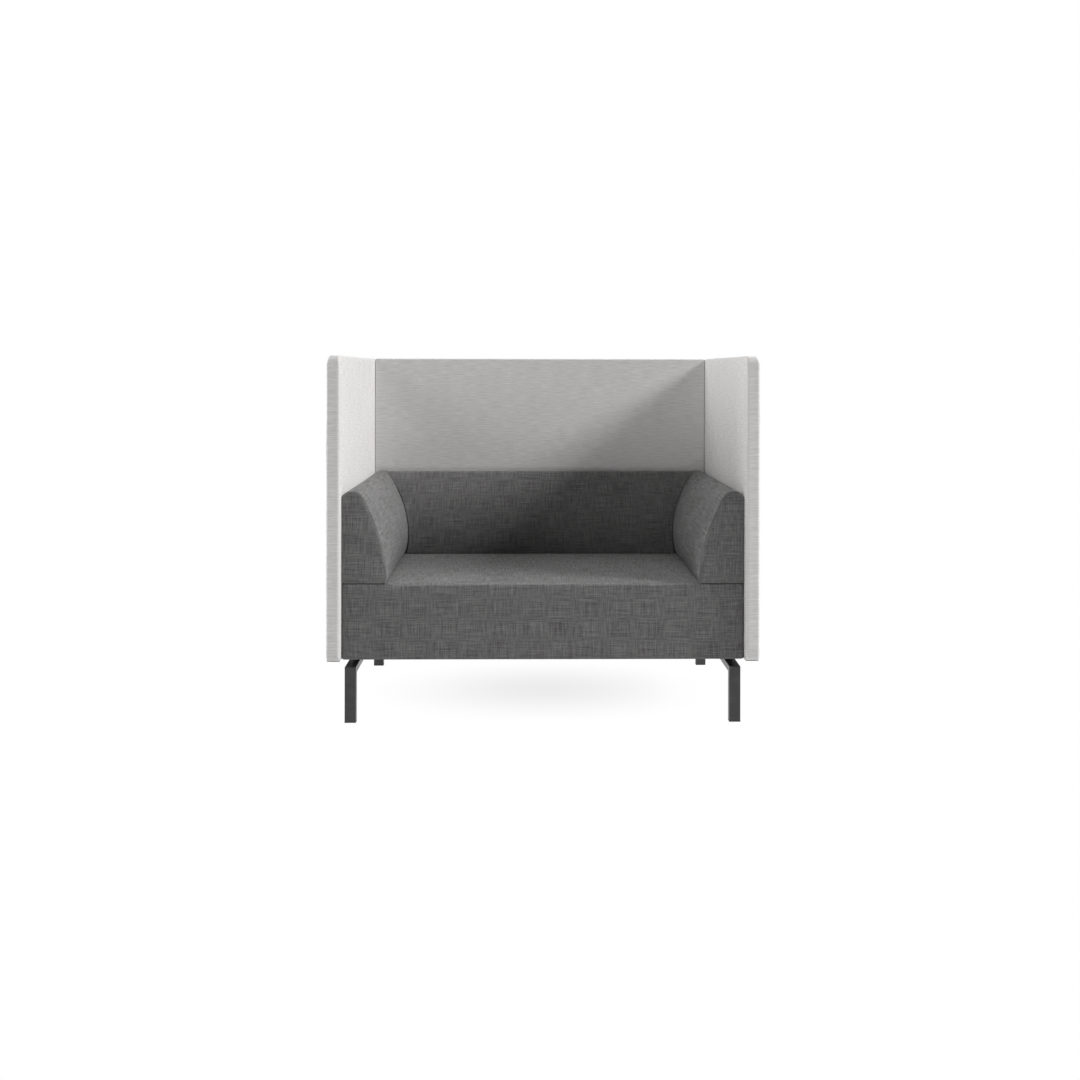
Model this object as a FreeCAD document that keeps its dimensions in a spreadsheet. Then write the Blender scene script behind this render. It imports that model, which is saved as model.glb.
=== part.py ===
import FreeCAD, Part
import math
import os
from types import SimpleNamespace

import Sketcher

# Two-seat lounge sofa: a seat box with fixed arms and back between three tall padded panels,
# on two leg frames of rectangular tube. Millimetres, +X to the right seen from the front, front
# at -Y, +Z up, origin on the floor in the middle of the outline.

SIZES = {
    # Overall
    "overall_width": 1330,
    "overall_depth": 770,
    "overall_height": 1140,
    "base_bottom": 200,
    "seat_height": 441,
    "seat_crown": 7,
    "seat_front_crown": 2,
    "seat_rear_crown": 5,
    "base_setback": 29,
    "base_corner_radius": 10,
    "base_edge_radius": 7,
    # Upholstery
    "cloth": 1.5,
    "joint_gap": 0.8,
    "fit": 0.3,
    "hem_width": 15,
    "dust_cover": 1,
    # Panels
    "panel_board": 15,
    "panel_padding": 12,
    "panel_edge_radius": 14,
    "panel_corner_radius": 22,
    "panel_closing_strip": 3,
    # Arms
    "arm_width": 141,
    "arm_height": 287,
    "arm_crest_inset": 32,
    "arm_edge_drop": 17,
    "arm_face_radius": 620,
    "arm_swell_radius": 350,
    "arm_rear_radius": 370,
    "arm_swell_reach": 300,
    "arm_board": 18,
    "arm_board_end": 25,
    "arm_sole": 12,
    "sole_margin": 8,
    "arm_top_foam": 12,
    # Back
    "back_thickness": 178,
    "back_height": 285,
    "back_crest_inset": 30,
    "back_edge_drop": 14,
    "back_face_radius": 760,
    "back_swell_radius": 480,
    "back_board": 15,
    "back_sole": 12,
    "back_board_margin": 40,
    "back_top_foam": 14,
    # Seat frame
    "seat_foam": 96,
    "rail_thickness": 25,
    "brace_thickness": 25,
    "brace_drop": 30,
    "corner_block_leg": 60,
    "corner_block_drop": 30,
    "side_padding": 10,
    "front_padding": 18,
    "webbing_thickness": 2,
    "webbing_width": 50,
    "seat_strap_count": 8,
    "cross_strap_count": 4,
    # Leg frames
    "leg_gap": 27,
    "leg_width": 35,
    "leg_depth": 20,
    "leg_wall": 2,
    "leg_edge_radius": 1.5,
    "leg_front_inset": 21,
    "leg_rear_inset": 42,
    "leg_bolt_inset": 90,
    "leg_spacer_radius": 12.5,
    "leg_bolt_radius": 4,
    "leg_bolt_head_radius": 7,
    "leg_bolt_head_height": 5,
    "leg_insert_radius": 6,
    "leg_insert_length": 25,
    "glide_height": 4,
    "glide_plug": 18,
    # Panel fixings
    "bolt_radius": 3,
    "bolt_head_radius": 6,
    "bolt_head_height": 4,
    "bush_radius": 9,
    "insert_radius": 4.5,
    "insert_length": 12,
    "base_bolt_inset": 120,
    "arm_bolt_inset": 100,
    "arm_bolt_drop": 110,
    "rear_base_bolt_inset": 220,
    "back_bolt_inset": 140,
    "back_bolt_drop": 110,
    "corner_bolt_rise": 300,
    "corner_bolt_drop": 90,
}

LEFT = -1
RIGHT = 1
TOUCH = 1e-6
SIDES = {"left": LEFT, "right": RIGHT}

doc = FreeCAD.newDocument("lounge_sofa")
nodes = []


class Length:
    """A size in millimetres that keeps the sheet formula it comes from."""

    def __init__(self, value, formula):
        self.value = value
        self.formula = formula

    def __add__(self, other):
        other = as_length(other)
        return Length(self.value + other.value, f"({self.formula} + {other.formula})")

    def __sub__(self, other):
        other = as_length(other)
        return Length(self.value - other.value, f"({self.formula} - {other.formula})")

    def __mul__(self, other):
        other = as_length(other)
        return Length(self.value * other.value, f"({self.formula} * {other.formula})")

    def __truediv__(self, other):
        other = as_length(other)
        return Length(self.value / other.value, f"({self.formula} / {other.formula})")

    def __neg__(self):
        return Length(-self.value, f"(0 - {self.formula})")

    def __rsub__(self, other):
        return as_length(other) - self

    __radd__ = __add__
    __rmul__ = __mul__


def as_length(size):
    """Give a plain number the same form as a size from the sheet."""
    if isinstance(size, Length):
        return size
    return Length(float(size), f"({size})")


def fill_sheet(sizes):
    """Write the driving dimensions into the sheet and return them by name."""
    sheet = doc.addObject("Spreadsheet::Sheet", "sizes")
    for row, (alias, size) in enumerate(sizes.items(), start=1):
        sheet.set(f"A{row}", alias)
        sheet.set(f"B{row}", str(size))
        sheet.setAlias(f"B{row}", alias)
    doc.recompute()
    return SimpleNamespace(**{alias: Length(float(sheet.get(alias)), f"sizes.{alias}") for alias in sizes})


mm = fill_sheet(SIZES)

# Places that follow from the driving dimensions
half_width = mm.overall_width / 2
half_depth = mm.overall_depth / 2
panel = mm.panel_board + 2 * (mm.panel_padding + mm.cloth)
panel_skin = mm.panel_padding + mm.cloth
panel_low = mm.base_bottom
panel_inside = half_width - panel
base_half = panel_inside - mm.joint_gap
base_front = mm.base_setback - half_depth
base_rear = half_depth - panel - mm.joint_gap
base_top = mm.seat_height - mm.seat_crown
cover_low = mm.base_bottom + mm.dust_cover
frame_low = cover_low + mm.cloth
lining = mm.cloth + mm.fit
frame_half = base_half - mm.cloth - mm.side_padding
frame_inner = frame_half - mm.rail_thickness
frame_front = base_front + mm.cloth + mm.front_padding
frame_rear = base_rear - mm.cloth - mm.side_padding
seat_foam_low = base_top - lining - mm.seat_foam
rail_top = seat_foam_low - 2 * mm.webbing_thickness
rail_middle = (frame_low + rail_top) / 2
leg_center = frame_half - mm.rail_thickness / 2
leg_front = base_front + mm.leg_front_inset
leg_rear = base_rear - mm.leg_rear_inset
leg_top = mm.base_bottom - mm.leg_gap
leg_bar_low = leg_top - mm.leg_depth
panel_board_face = half_width - panel_skin
rear_board_face = half_depth - panel_skin
back_board_half = base_half - mm.arm_width - mm.back_board_margin

# One crest form for the arms and one for the back: both stand on the seat box against a panel
arm_form = SimpleNamespace(
    outer=base_half,
    width=mm.arm_width,
    crest=base_top + mm.arm_height,
    crest_inset=mm.arm_crest_inset,
    edge_drop=mm.arm_edge_drop,
)
back_form = SimpleNamespace(
    outer=base_rear,
    width=mm.back_thickness,
    crest=base_top + mm.back_height,
    crest_inset=mm.back_crest_inset,
    edge_drop=mm.back_edge_drop,
)


# Helpers: bound primitives, booleans and groups
def bind(feature, name, size):
    """Tie one property of a feature to its formula."""
    feature.setExpression(name, as_length(size).formula)


def put(feature, corner):
    """Tie a feature's place to three formulas."""
    for axis, size in zip("xyz", corner):
        bind(feature, f"Placement.Base.{axis}", size)


def add(kind, label):
    """Add a labelled feature to the document."""
    feature = doc.addObject(kind, label)
    feature.Label = label
    return feature


def block(label, low, high):
    """A box from its lowest to its highest corner."""
    box = add("Part::Box", label)
    for name, start, end in zip(("Length", "Width", "Height"), low, high):
        bind(box, name, as_length(end) - start)
    put(box, low)
    return box


def rod(label, radius, start, direction, length):
    """A cylinder from a start point along a direction."""
    cylinder = add("Part::Cylinder", label)
    bind(cylinder, "Radius", radius)
    bind(cylinder, "Height", length)
    cylinder.Placement.Rotation = FreeCAD.Rotation(FreeCAD.Vector(0, 0, 1), FreeCAD.Vector(*direction))
    put(cylinder, start)
    return cylinder


def fuse(label, members):
    """One solid from touching members."""
    whole = add("Part::MultiFuse", label)
    whole.Shapes = members
    return whole


def group(label, members):
    """Separate solids under one label."""
    compound = add("Part::Compound", label)
    compound.Links = members
    return compound


def cut(label, base, *tools):
    """Take the tools away from the base."""
    result = add("Part::Cut", label)
    result.Base = base
    result.Tool = tools[0] if len(tools) == 1 else group(f"{label}_tools", list(tools))
    return result


def node(feature):
    """Mark a finished sub-part, which is written under its label."""
    nodes.append(feature)
    return feature


def span(side, near, far):
    """Lowest and highest X of a stretch given by its distances from the middle plane."""
    if side == RIGHT:
        return near, far
    return -far, -near


def side_block(label, side, near, far, low, high):
    """A box on the left or right, with X given as distances from the middle plane."""
    x_low, x_high = span(side, near, far)
    return block(label, (x_low, *low), (x_high, *high))


# Helpers: bodies, sketches, pads and lofts
def new_sketch(body, label, role, offset):
    """A sketch on one of the body's own origin planes, moved along the plane's normal."""
    sketch = body.newObject("Sketcher::SketchObject", label)
    plane = next(feature for feature in body.Origin.OriginFeatures if feature.Role == role)
    sketch.AttachmentSupport = [(plane, "")]
    sketch.MapMode = "FlatFace"
    bind(sketch, "AttachmentOffset.Base.z", offset)
    return sketch


def fix(sketch, kind, geometry, point, size):
    """Dimension a sketch point from the origin."""
    index = sketch.addConstraint(Sketcher.Constraint(kind, -1, 1, geometry, point, size.value))
    sketch.setExpression(f"Constraints[{index}]", size.formula)


def fix_radius(sketch, geometry, size):
    """Dimension the radius of a sketch arc."""
    index = sketch.addConstraint(Sketcher.Constraint("Radius", geometry, size.value))
    sketch.setExpression(f"Constraints[{index}]", size.formula)


def arc_between(first, last, center):
    """The arc that runs counter-clockwise from first to last around a centre."""
    start = math.atan2(first.y - center.y, first.x - center.x)
    end = math.atan2(last.y - center.y, last.x - center.x)
    if end < start:
        end += 2 * math.pi
    circle = Part.Circle(center, FreeCAD.Vector(0, 0, 1), (first - center).Length)
    return Part.ArcOfCircle(circle, start, end)


def arc_radius(half_chord, rise):
    """Radius of an arc from half its chord and its rise."""
    return (half_chord * half_chord + rise * rise) / (2 * rise)


def outline(body, label, role, offset, corners):
    """A closed counter-clockwise outline.

    Each corner is (u, v) or (u, v, radius): with a radius, an outward arc leads to the next corner.
    """
    sketch = new_sketch(body, label, role, offset)
    corners = [tuple(as_length(size) for size in corner) for corner in corners]
    points = [FreeCAD.Vector(corner[0].value, corner[1].value, 0) for corner in corners]
    for index, corner in enumerate(corners):
        start = points[index]
        end = points[(index + 1) % len(points)]
        if len(corner) == 2:
            sketch.addGeometry(Part.LineSegment(start, end), False)
            continue
        chord = end - start
        inward = FreeCAD.Vector(-chord.y, chord.x, 0).normalize()
        rise = math.sqrt(corner[2].value ** 2 - (chord.Length / 2) ** 2)
        sketch.addGeometry(arc_between(start, end, (start + end) / 2 + inward * rise), False)
        fix_radius(sketch, index, corner[2])
    for index, corner in enumerate(corners):
        sketch.addConstraint(Sketcher.Constraint("Coincident", (index - 1) % len(corners), 2, index, 1))
        fix(sketch, "DistanceX", index, 1, corner[0])
        fix(sketch, "DistanceY", index, 1, corner[1])
    return sketch


def pad(body, label, sketch, length, symmetric=False):
    """Extrude a sketch along its normal, or half to each side."""
    feature = body.newObject("PartDesign::Pad", label)
    feature.Profile = sketch
    feature.SideType = "Symmetric" if symmetric else "One side"
    bind(feature, "Length", length)
    return feature


def round_edges(body, label, base, radius, chosen):
    """Round the edges of a feature that the test picks out."""
    doc.recompute()
    fillet = body.newObject("PartDesign::Fillet", label)
    names = [f"Edge{number}" for number, edge in enumerate(base.Shape.Edges, start=1) if chosen(edge)]
    fillet.Base = (base, names)
    bind(fillet, "Radius", radius)
    return fillet


def loft(body, label, sections):
    """A smooth additive loft through sketches."""
    feature = body.newObject("PartDesign::AdditiveLoft", label)
    feature.Profile = sections[0]
    feature.Sections = sections[1:]
    return feature


def rounded_rectangle(half_u, low_v, high_v, low_radius, high_radius):
    """Corners of a rectangle with round upper corners and, where a radius is given, lower ones."""
    corners = []
    if low_radius is None:
        corners += [(-half_u, low_v), (half_u, low_v)]
    else:
        corners += [(-half_u, low_v + low_radius, low_radius), (low_radius - half_u, low_v)]
        corners += [(half_u - low_radius, low_v, low_radius), (half_u, low_v + low_radius)]
    corners += [(half_u, high_v - high_radius, high_radius), (half_u - high_radius, high_v)]
    corners += [(high_radius - half_u, high_v, high_radius), (-half_u, high_v - high_radius)]
    return corners


def level(edge, height):
    """Whether an edge lies in the horizontal plane at a height."""
    return abs(edge.BoundBox.ZMin - height) < TOUCH and abs(edge.BoundBox.ZMax - height) < TOUCH


# Padded panels
def panel_form(label, side, inset, low):
    """A panel's outer form, set in by an inset: side is left, right or rear."""
    body = add("PartDesign::Body", label)
    if side == "rear":
        role = "XZ_Plane"
        start = inset - half_depth
        half = base_half - inset
    else:
        role = "YZ_Plane"
        start = panel_inside + inset if side == "right" else inset - half_width
        half = half_depth - inset
    top = mm.overall_height - inset
    corners = rounded_rectangle(half, low, top, None, mm.panel_corner_radius - inset)
    sketch = outline(body, f"{label}_outline", role, start, corners)
    slab = pad(body, f"{label}_slab", sketch, panel - 2 * inset)

    def on_rim(edge):
        """Edges round the two broad faces, without the open bottom."""
        depth = edge.BoundBox.YLength if side == "rear" else edge.BoundBox.XLength
        return depth < TOUCH and not level(edge, low.value)

    round_edges(body, f"{label}_rim", slab, mm.panel_edge_radius - inset, on_rim)
    return body


def panel_range(side, inset, length_inset):
    """Lowest and highest X and Y of a panel's layer at an inset from its broad faces and its ends."""
    if side == "rear":
        half = base_half - length_inset
        return (-half, half_depth - panel + inset), (half, half_depth - inset)
    x_low, x_high = span(SIDES[side], panel_inside + inset, half_width - inset)
    half = half_depth - length_inset
    return (x_low, -half), (x_high, half)


def build_panel(side, drills):
    """Board, padding, cover and closing strip of one panel."""
    strip_top = panel_low + mm.panel_closing_strip
    board_low, board_high = panel_range(side, panel_skin, panel_skin)
    board_top = mm.overall_height - panel_skin
    board = block(f"{side}_panel_blank", (*board_low, strip_top), (*board_high, board_top))
    node(cut(f"{side}_panel_board", board, *drills))

    stuffing = panel_form(f"{side}_panel_stuffing", side, lining, strip_top)
    node(cut(f"{side}_panel_padding", stuffing, board, *drills))

    outside = panel_form(f"{side}_panel_outside", side, as_length(0), panel_low)
    hollow = panel_form(f"{side}_panel_hollow", side, mm.cloth, panel_low - mm.panel_closing_strip)
    node(cut(f"{side}_panel_cover", outside, hollow, *drills))

    strip_low, strip_high = panel_range(side, lining, mm.panel_edge_radius)
    return block(f"{side}_closing_strip", (*strip_low, panel_low), (*strip_high, strip_top))


# Arms and back: a crest profile carried through sections
def crest_profile(body, label, plane, side, form, low, face_radius, inset):
    """Outline of an arm or back: upright against the panel, a crown arc, and a tangent face arc."""
    sketch = new_sketch(body, label, *plane)
    crest_radius = arc_radius(form.crest_inset, form.edge_drop)
    crown = crest_radius - inset
    face = face_radius - inset
    edge_u = side * (form.outer - inset)
    toe_u = side * (form.outer - form.width + inset)
    crown_u = side * (form.outer - form.crest_inset)
    crown_v = form.crest - crest_radius

    center = FreeCAD.Vector(crown_u.value, crown_v.value, 0)
    foot = FreeCAD.Vector(edge_u.value, low.value, 0)
    toe = FreeCAD.Vector(toe_u.value, low.value, 0)
    shoulder = center.y + math.sqrt(crown.value ** 2 - (edge_u.value - crown_u.value) ** 2)
    edge_top = FreeCAD.Vector(edge_u.value, shoulder, 0)
    reach = toe - center
    near = face.value - crown.value
    along = (near ** 2 - face.value ** 2 + reach.Length ** 2) / (2 * reach.Length)
    across = FreeCAD.Vector(-reach.y, reach.x, 0).normalize() * math.sqrt(near ** 2 - along ** 2)
    face_center = center + reach.normalize() * along + across * side
    meet = center + (center - face_center).normalize() * crown.value

    sketch.addGeometry(Part.LineSegment(toe, foot), False)
    sketch.addGeometry(Part.LineSegment(foot, edge_top), False)
    if side == RIGHT:
        sketch.addGeometry(arc_between(edge_top, meet, center), False)
        sketch.addGeometry(arc_between(meet, toe, face_center), False)
        arc_from, arc_to = 1, 2
    else:
        sketch.addGeometry(arc_between(meet, edge_top, center), False)
        sketch.addGeometry(arc_between(toe, meet, face_center), False)
        arc_from, arc_to = 2, 1
    bottom, upright, crown_arc, face_arc = range(4)
    sketch.addConstraint(Sketcher.Constraint("Coincident", bottom, 2, upright, 1))
    sketch.addConstraint(Sketcher.Constraint("Coincident", upright, 2, crown_arc, arc_from))
    sketch.addConstraint(Sketcher.Constraint("Tangent", crown_arc, arc_to, face_arc, arc_from))
    sketch.addConstraint(Sketcher.Constraint("Coincident", face_arc, arc_to, bottom, 1))
    sketch.addConstraint(Sketcher.Constraint("Horizontal", bottom))
    sketch.addConstraint(Sketcher.Constraint("Vertical", upright))
    fix(sketch, "DistanceX", upright, 1, edge_u)
    fix(sketch, "DistanceY", upright, 1, low)
    fix(sketch, "DistanceX", bottom, 1, toe_u)
    fix(sketch, "DistanceX", crown_arc, 3, crown_u)
    fix(sketch, "DistanceY", crown_arc, 3, crown_v)
    fix_radius(sketch, crown_arc, crown)
    fix_radius(sketch, face_arc, face)
    return sketch


def arm_solid(label, side, inset, end_inset, low):
    """An arm's form: drawn in at the front seam, with its face swelling behind it."""
    body = add("PartDesign::Body", label)
    stations = (
        (base_front + end_inset, mm.arm_face_radius),
        (base_front + mm.arm_swell_reach, mm.arm_swell_radius),
        (base_rear - end_inset, mm.arm_rear_radius),
    )
    sections = []
    for number, (place, face_radius) in enumerate(stations):
        name = f"{label}_section_{number}"
        plane = ("XZ_Plane", -place)
        sections.append(crest_profile(body, name, plane, side, arm_form, low, face_radius, inset))
    loft(body, f"{label}_loft", sections)
    return body


def build_arm(name, side, drill):
    """Sole, board, foam and cover of one arm."""
    sole_low = (base_front + lining, base_top)
    sole_high = (base_rear - lining, base_top + mm.arm_sole)
    sole_near = base_half - mm.arm_width + mm.cloth + mm.sole_margin
    sole = node(side_block(f"{name}_arm_sole", side, sole_near, base_half - lining, sole_low, sole_high))

    board_low = (base_front + mm.arm_board_end, base_top + mm.arm_sole)
    board_high = (base_rear - mm.arm_board_end, arm_form.crest - mm.arm_edge_drop - mm.arm_top_foam)
    board_far = base_half - lining
    blank = side_block(f"{name}_arm_blank", side, board_far - mm.arm_board, board_far, board_low, board_high)
    node(cut(f"{name}_arm_board", blank, drill))

    stuffing = arm_solid(f"{name}_arm_stuffing", side, lining, lining, base_top)
    node(cut(f"{name}_arm_foam", stuffing, sole, blank, drill))

    outside = arm_solid(f"{name}_arm_outside", side, as_length(0), as_length(0), base_top)
    hollow = arm_solid(f"{name}_arm_hollow", side, mm.cloth, mm.cloth, base_top - mm.cloth)
    node(cut(f"{name}_arm_cover", outside, hollow, drill))


def back_solid(label, inset, low):
    """The back's form: fullest in the middle, with its ends scribed to the arms."""
    body = add("PartDesign::Body", label)
    half = base_half - mm.arm_crest_inset
    stations = (
        (-half, mm.back_face_radius),
        (as_length(0), mm.back_swell_radius),
        (half, mm.back_face_radius),
    )
    sections = []
    for number, (place, face_radius) in enumerate(stations):
        name = f"{label}_section_{number}"
        plane = ("YZ_Plane", place)
        sections.append(crest_profile(body, name, plane, RIGHT, back_form, low, face_radius, inset))
    loft(body, f"{label}_loft", sections)
    room = mm.joint_gap + inset
    arms = [
        arm_solid(f"{label}_{name}_room", side, -room, as_length(0), base_top - mm.cloth)
        for name, side in SIDES.items()
    ]
    return cut(f"{label}_scribed", body, *arms)


def build_back(drill):
    """Sole, board, foam and cover of the back."""
    half = back_board_half
    sole_front = base_rear - mm.back_thickness + mm.cloth + mm.sole_margin
    sole_rear = base_rear - lining
    sole_top = base_top + mm.back_sole
    sole = node(block("back_sole", (-half, sole_front, base_top), (half, sole_rear, sole_top)))

    board_top = back_form.crest - mm.back_edge_drop - mm.back_top_foam
    board_front = sole_rear - mm.back_board
    blank = block("back_blank", (-half, board_front, sole_top), (half, sole_rear, board_top))
    node(cut("back_board", blank, drill))

    stuffing = back_solid("back_stuffing", lining, base_top)
    node(cut("back_foam", stuffing, sole, blank, drill))

    outside = back_solid("back_outside", as_length(0), base_top)
    hollow = back_solid("back_hollow", mm.cloth, base_top - mm.cloth)
    node(cut("back_cover", outside, hollow, drill))


# Seat box
def seat_solid(label, inset, low):
    """The seat box's form: round corners and edges, and a crown between the arms."""
    body = add("PartDesign::Body", label)
    top = base_top - inset
    half = base_half - inset
    radius = mm.base_corner_radius - inset
    corners = rounded_rectangle(half, base_front + inset, base_rear - inset, radius, radius)
    plan = outline(body, f"{label}_plan", "XY_Plane", low, corners)
    box = pad(body, f"{label}_box", plan, top - low)
    round_edges(body, f"{label}_rim", box, mm.base_edge_radius - inset, lambda edge: level(edge, top.value))

    crown_half = base_half - mm.arm_width - mm.fit
    crown_front = base_front + mm.base_edge_radius + inset
    crown_rear = base_rear - mm.back_thickness - mm.fit - inset
    stations = (
        (crown_front, mm.seat_front_crown),
        ((crown_front + crown_rear) / 2, mm.seat_crown),
        (crown_rear, mm.seat_rear_crown),
    )
    sections = []
    for number, (place, rise) in enumerate(stations):
        radius = arc_radius(crown_half, rise)
        root = top - mm.base_edge_radius
        corners = [(-crown_half, root), (crown_half, root), (crown_half, top, radius), (-crown_half, top)]
        sections.append(outline(body, f"{label}_crown_{number}", "XZ_Plane", -place, corners))
    loft(body, f"{label}_crown", sections)
    return body


def build_seat(side_drills, rear_drills, leg_drills):
    """Timber frame, straps, foam, padding and covers of the seat box."""
    for name, side in SIDES.items():
        low = (frame_front, frame_low)
        high = (frame_rear, rail_top + mm.webbing_thickness)
        blank = side_block(f"{name}_rail_blank", side, frame_inner, frame_half, low, high)
        node(cut(f"{name}_rail", blank, side_drills[name]["base"], leg_drills))

        low = (frame_front, frame_low)
        high = (frame_rear, seat_foam_low)
        stuffing = side_block(f"{name}_side_stuffing", side, frame_half, base_half - lining, low, high)
        node(cut(f"{name}_side_padding", stuffing, side_drills[name]["base"]))

    front_inner = frame_front + mm.rail_thickness
    rear_inner = frame_rear - mm.rail_thickness
    node(block("front_rail", (-frame_inner, frame_front, frame_low), (frame_inner, front_inner, rail_top)))
    low = (-frame_inner, rear_inner, frame_low)
    blank = block("rear_rail_blank", low, (frame_inner, frame_rear, rail_top))
    node(cut("rear_rail", blank, rear_drills["base"]))
    brace_half = mm.brace_thickness / 2
    brace_top = rail_top - mm.brace_drop
    node(block("center_brace", (-brace_half, front_inner, frame_low), (brace_half, rear_inner, brace_top)))

    blocks = []
    for name, side in SIDES.items():
        for end, place, inward in (("front", front_inner, 1), ("rear", rear_inner, -1)):
            label = f"{name}_{end}_block"
            body = add("PartDesign::Body", label)
            apex = (side * frame_inner, place)
            along_x = (side * (frame_inner - mm.corner_block_leg), place)
            along_y = (side * frame_inner, place + inward * mm.corner_block_leg)
            corners = [apex, along_y, along_x]
            if side * inward < 0:
                corners.reverse()
            plan = outline(body, f"{label}_plan", "XY_Plane", frame_low, corners)
            pad(body, f"{label}_pad", plan, rail_top - mm.corner_block_drop - frame_low)
            blocks.append(body)
    node(group("corner_blocks", blocks))

    half_strap = mm.webbing_width / 2
    straps = []
    pitch = 2 * frame_inner / mm.seat_strap_count
    for number in range(round(mm.seat_strap_count.value)):
        middle = (number + 0.5) * pitch - frame_inner
        low = (middle - half_strap, frame_front, rail_top)
        high = (middle + half_strap, frame_rear, rail_top + mm.webbing_thickness)
        straps.append(block(f"seat_strap_{number}", low, high))
    node(group("seat_webbing", straps))
    straps = []
    pitch = (frame_rear - frame_front) / mm.cross_strap_count
    for number in range(round(mm.cross_strap_count.value)):
        middle = (number + 0.5) * pitch + frame_front
        low = (-frame_half, middle - half_strap, rail_top + mm.webbing_thickness)
        high = (frame_half, middle + half_strap, seat_foam_low)
        straps.append(block(f"cross_strap_{number}", low, high))
    node(group("cross_webbing", straps))

    pad_half = base_half - mm.base_corner_radius
    low = (-pad_half, base_front + lining, frame_low)
    node(block("front_padding", low, (pad_half, frame_front, seat_foam_low)))
    high = (pad_half, base_rear - lining, seat_foam_low)
    stuffing = block("rear_stuffing", (-pad_half, frame_rear, frame_low), high)
    node(cut("rear_padding", stuffing, rear_drills["base"]))

    node(seat_solid("seat_foam", lining, seat_foam_low))
    outside = seat_solid("base_outside", as_length(0), cover_low)
    hollow = seat_solid("base_hollow", mm.cloth, frame_low)
    window_inset = mm.cloth + mm.hem_width
    low = (window_inset - base_half, base_front + window_inset, cover_low)
    high = (base_half - window_inset, base_rear - window_inset, frame_low)
    window = block("base_window", low, high)
    bores = [drills["base"] for drills in (*side_drills.values(), rear_drills)]
    node(cut("base_cover", outside, hollow, window, *bores, leg_drills))

    dust_half = base_half - mm.base_corner_radius
    low = (-dust_half, base_front + mm.base_corner_radius, mm.base_bottom)
    high = (dust_half, base_rear - mm.base_corner_radius, cover_low)
    sheet = block("dust_sheet", low, high)
    node(cut("dust_cover", sheet, leg_drills))


# Fixings
def fixing(label, hardware, start, direction, steps):
    """A bolt with its bush and insert, and the stepped bore that they sit in.

    Start is the bolt's head end. Steps are distances along the bolt: where the head ends, where the bush
    starts and ends, and where the insert ends. A head that is not sunk needs no bore of its own.
    """
    def along(distance):
        """The point at a distance along the bolt."""
        return [place + way * distance for place, way in zip(start, direction)]

    head_end, bush_start, bush_end, tip = steps
    shank = rod(f"{label}_shank", hardware.bolt, along(head_end), direction, tip - head_end)
    head = rod(f"{label}_head", hardware.head, start, direction, head_end)
    bolt = fuse(f"{label}_bolt", [head, shank])

    sleeve = rod(f"{label}_sleeve", hardware.bush, along(bush_start), direction, bush_end - bush_start)
    bore = rod(f"{label}_bore", hardware.bolt + mm.fit, start, direction, tip)
    bush = cut(f"{label}_bush", sleeve, bore)

    plug = rod(f"{label}_plug", hardware.insert, along(bush_end), direction, tip - bush_end)
    thread = rod(f"{label}_thread", hardware.bolt, start, direction, tip)
    insert = cut(f"{label}_insert", plug, thread)

    shank_room = hardware.bolt + mm.fit
    bush_room = hardware.bush + mm.fit
    room = [
        rod(f"{label}_shank_room", shank_room, along(head_end), direction, bush_start - head_end),
        rod(f"{label}_bush_room", bush_room, along(bush_start), direction, bush_end - bush_start),
        plug,
    ]
    if hardware.sunk_head:
        room.append(rod(f"{label}_head_room", hardware.head + mm.fit, start, direction, head_end))
    drill = fuse(f"{label}_drill", room)
    return SimpleNamespace(bolt=bolt, bush=bush, insert=insert, drill=drill)


def panel_fixing(label, start, direction, reach):
    """A fixing from a panel board through its padding to a member at a reach from the board's outer face."""
    hardware = SimpleNamespace(
        bolt=mm.bolt_radius,
        head=mm.bolt_head_radius,
        bush=mm.bush_radius,
        insert=mm.insert_radius,
        sunk_head=True,
    )
    steps = (mm.bolt_head_height, mm.panel_board, reach, reach + mm.insert_length)
    return fixing(label, hardware, start, direction, steps)


def side_fixings(name, side):
    """Fixings from a side panel into the seat box, the arm and the rear panel."""
    rail_reach = panel_board_face - frame_half
    arm_reach = panel_board_face - base_half + lining
    rear_reach = panel_board_face - base_half + panel_skin
    arm_height = arm_form.crest - mm.arm_bolt_drop
    arm_front = base_front + mm.arm_board_end + mm.arm_bolt_inset
    arm_rear = base_rear - mm.arm_board_end - mm.arm_bolt_inset
    rear_middle = rear_board_face - mm.panel_board / 2
    places = [
        ("base", frame_front + mm.base_bolt_inset, rail_middle, rail_reach),
        ("base", frame_rear - mm.base_bolt_inset, rail_middle, rail_reach),
        ("arm", arm_front, arm_height, arm_reach),
        ("arm", arm_rear, arm_height, arm_reach),
        ("corner", rear_middle, panel_low + mm.corner_bolt_rise, rear_reach),
        ("corner", rear_middle, mm.overall_height - mm.corner_bolt_drop, rear_reach),
    ]
    fixings = {"base": [], "arm": [], "corner": []}
    for number, (kind, depth, height, reach) in enumerate(places):
        start = (side * panel_board_face, depth, height)
        fixings[kind].append(panel_fixing(f"{name}_{kind}_{number}", start, (-side, 0, 0), reach))
    return fixings


def rear_fixings():
    """Fixings from the rear panel into the seat box and the back."""
    rail_reach = rear_board_face - frame_rear
    back_reach = rear_board_face - base_rear + lining
    back_height = back_form.crest - mm.back_bolt_drop
    fixings = {"base": [], "back": []}
    for name, side in SIDES.items():
        low = (side * (frame_inner - mm.rear_base_bolt_inset), rear_board_face, rail_middle)
        high = (side * (back_board_half - mm.back_bolt_inset), rear_board_face, back_height)
        fixings["base"].append(panel_fixing(f"rear_base_{name}", low, (0, -1, 0), rail_reach))
        fixings["back"].append(panel_fixing(f"rear_back_{name}", high, (0, -1, 0), back_reach))
    return fixings


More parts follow.
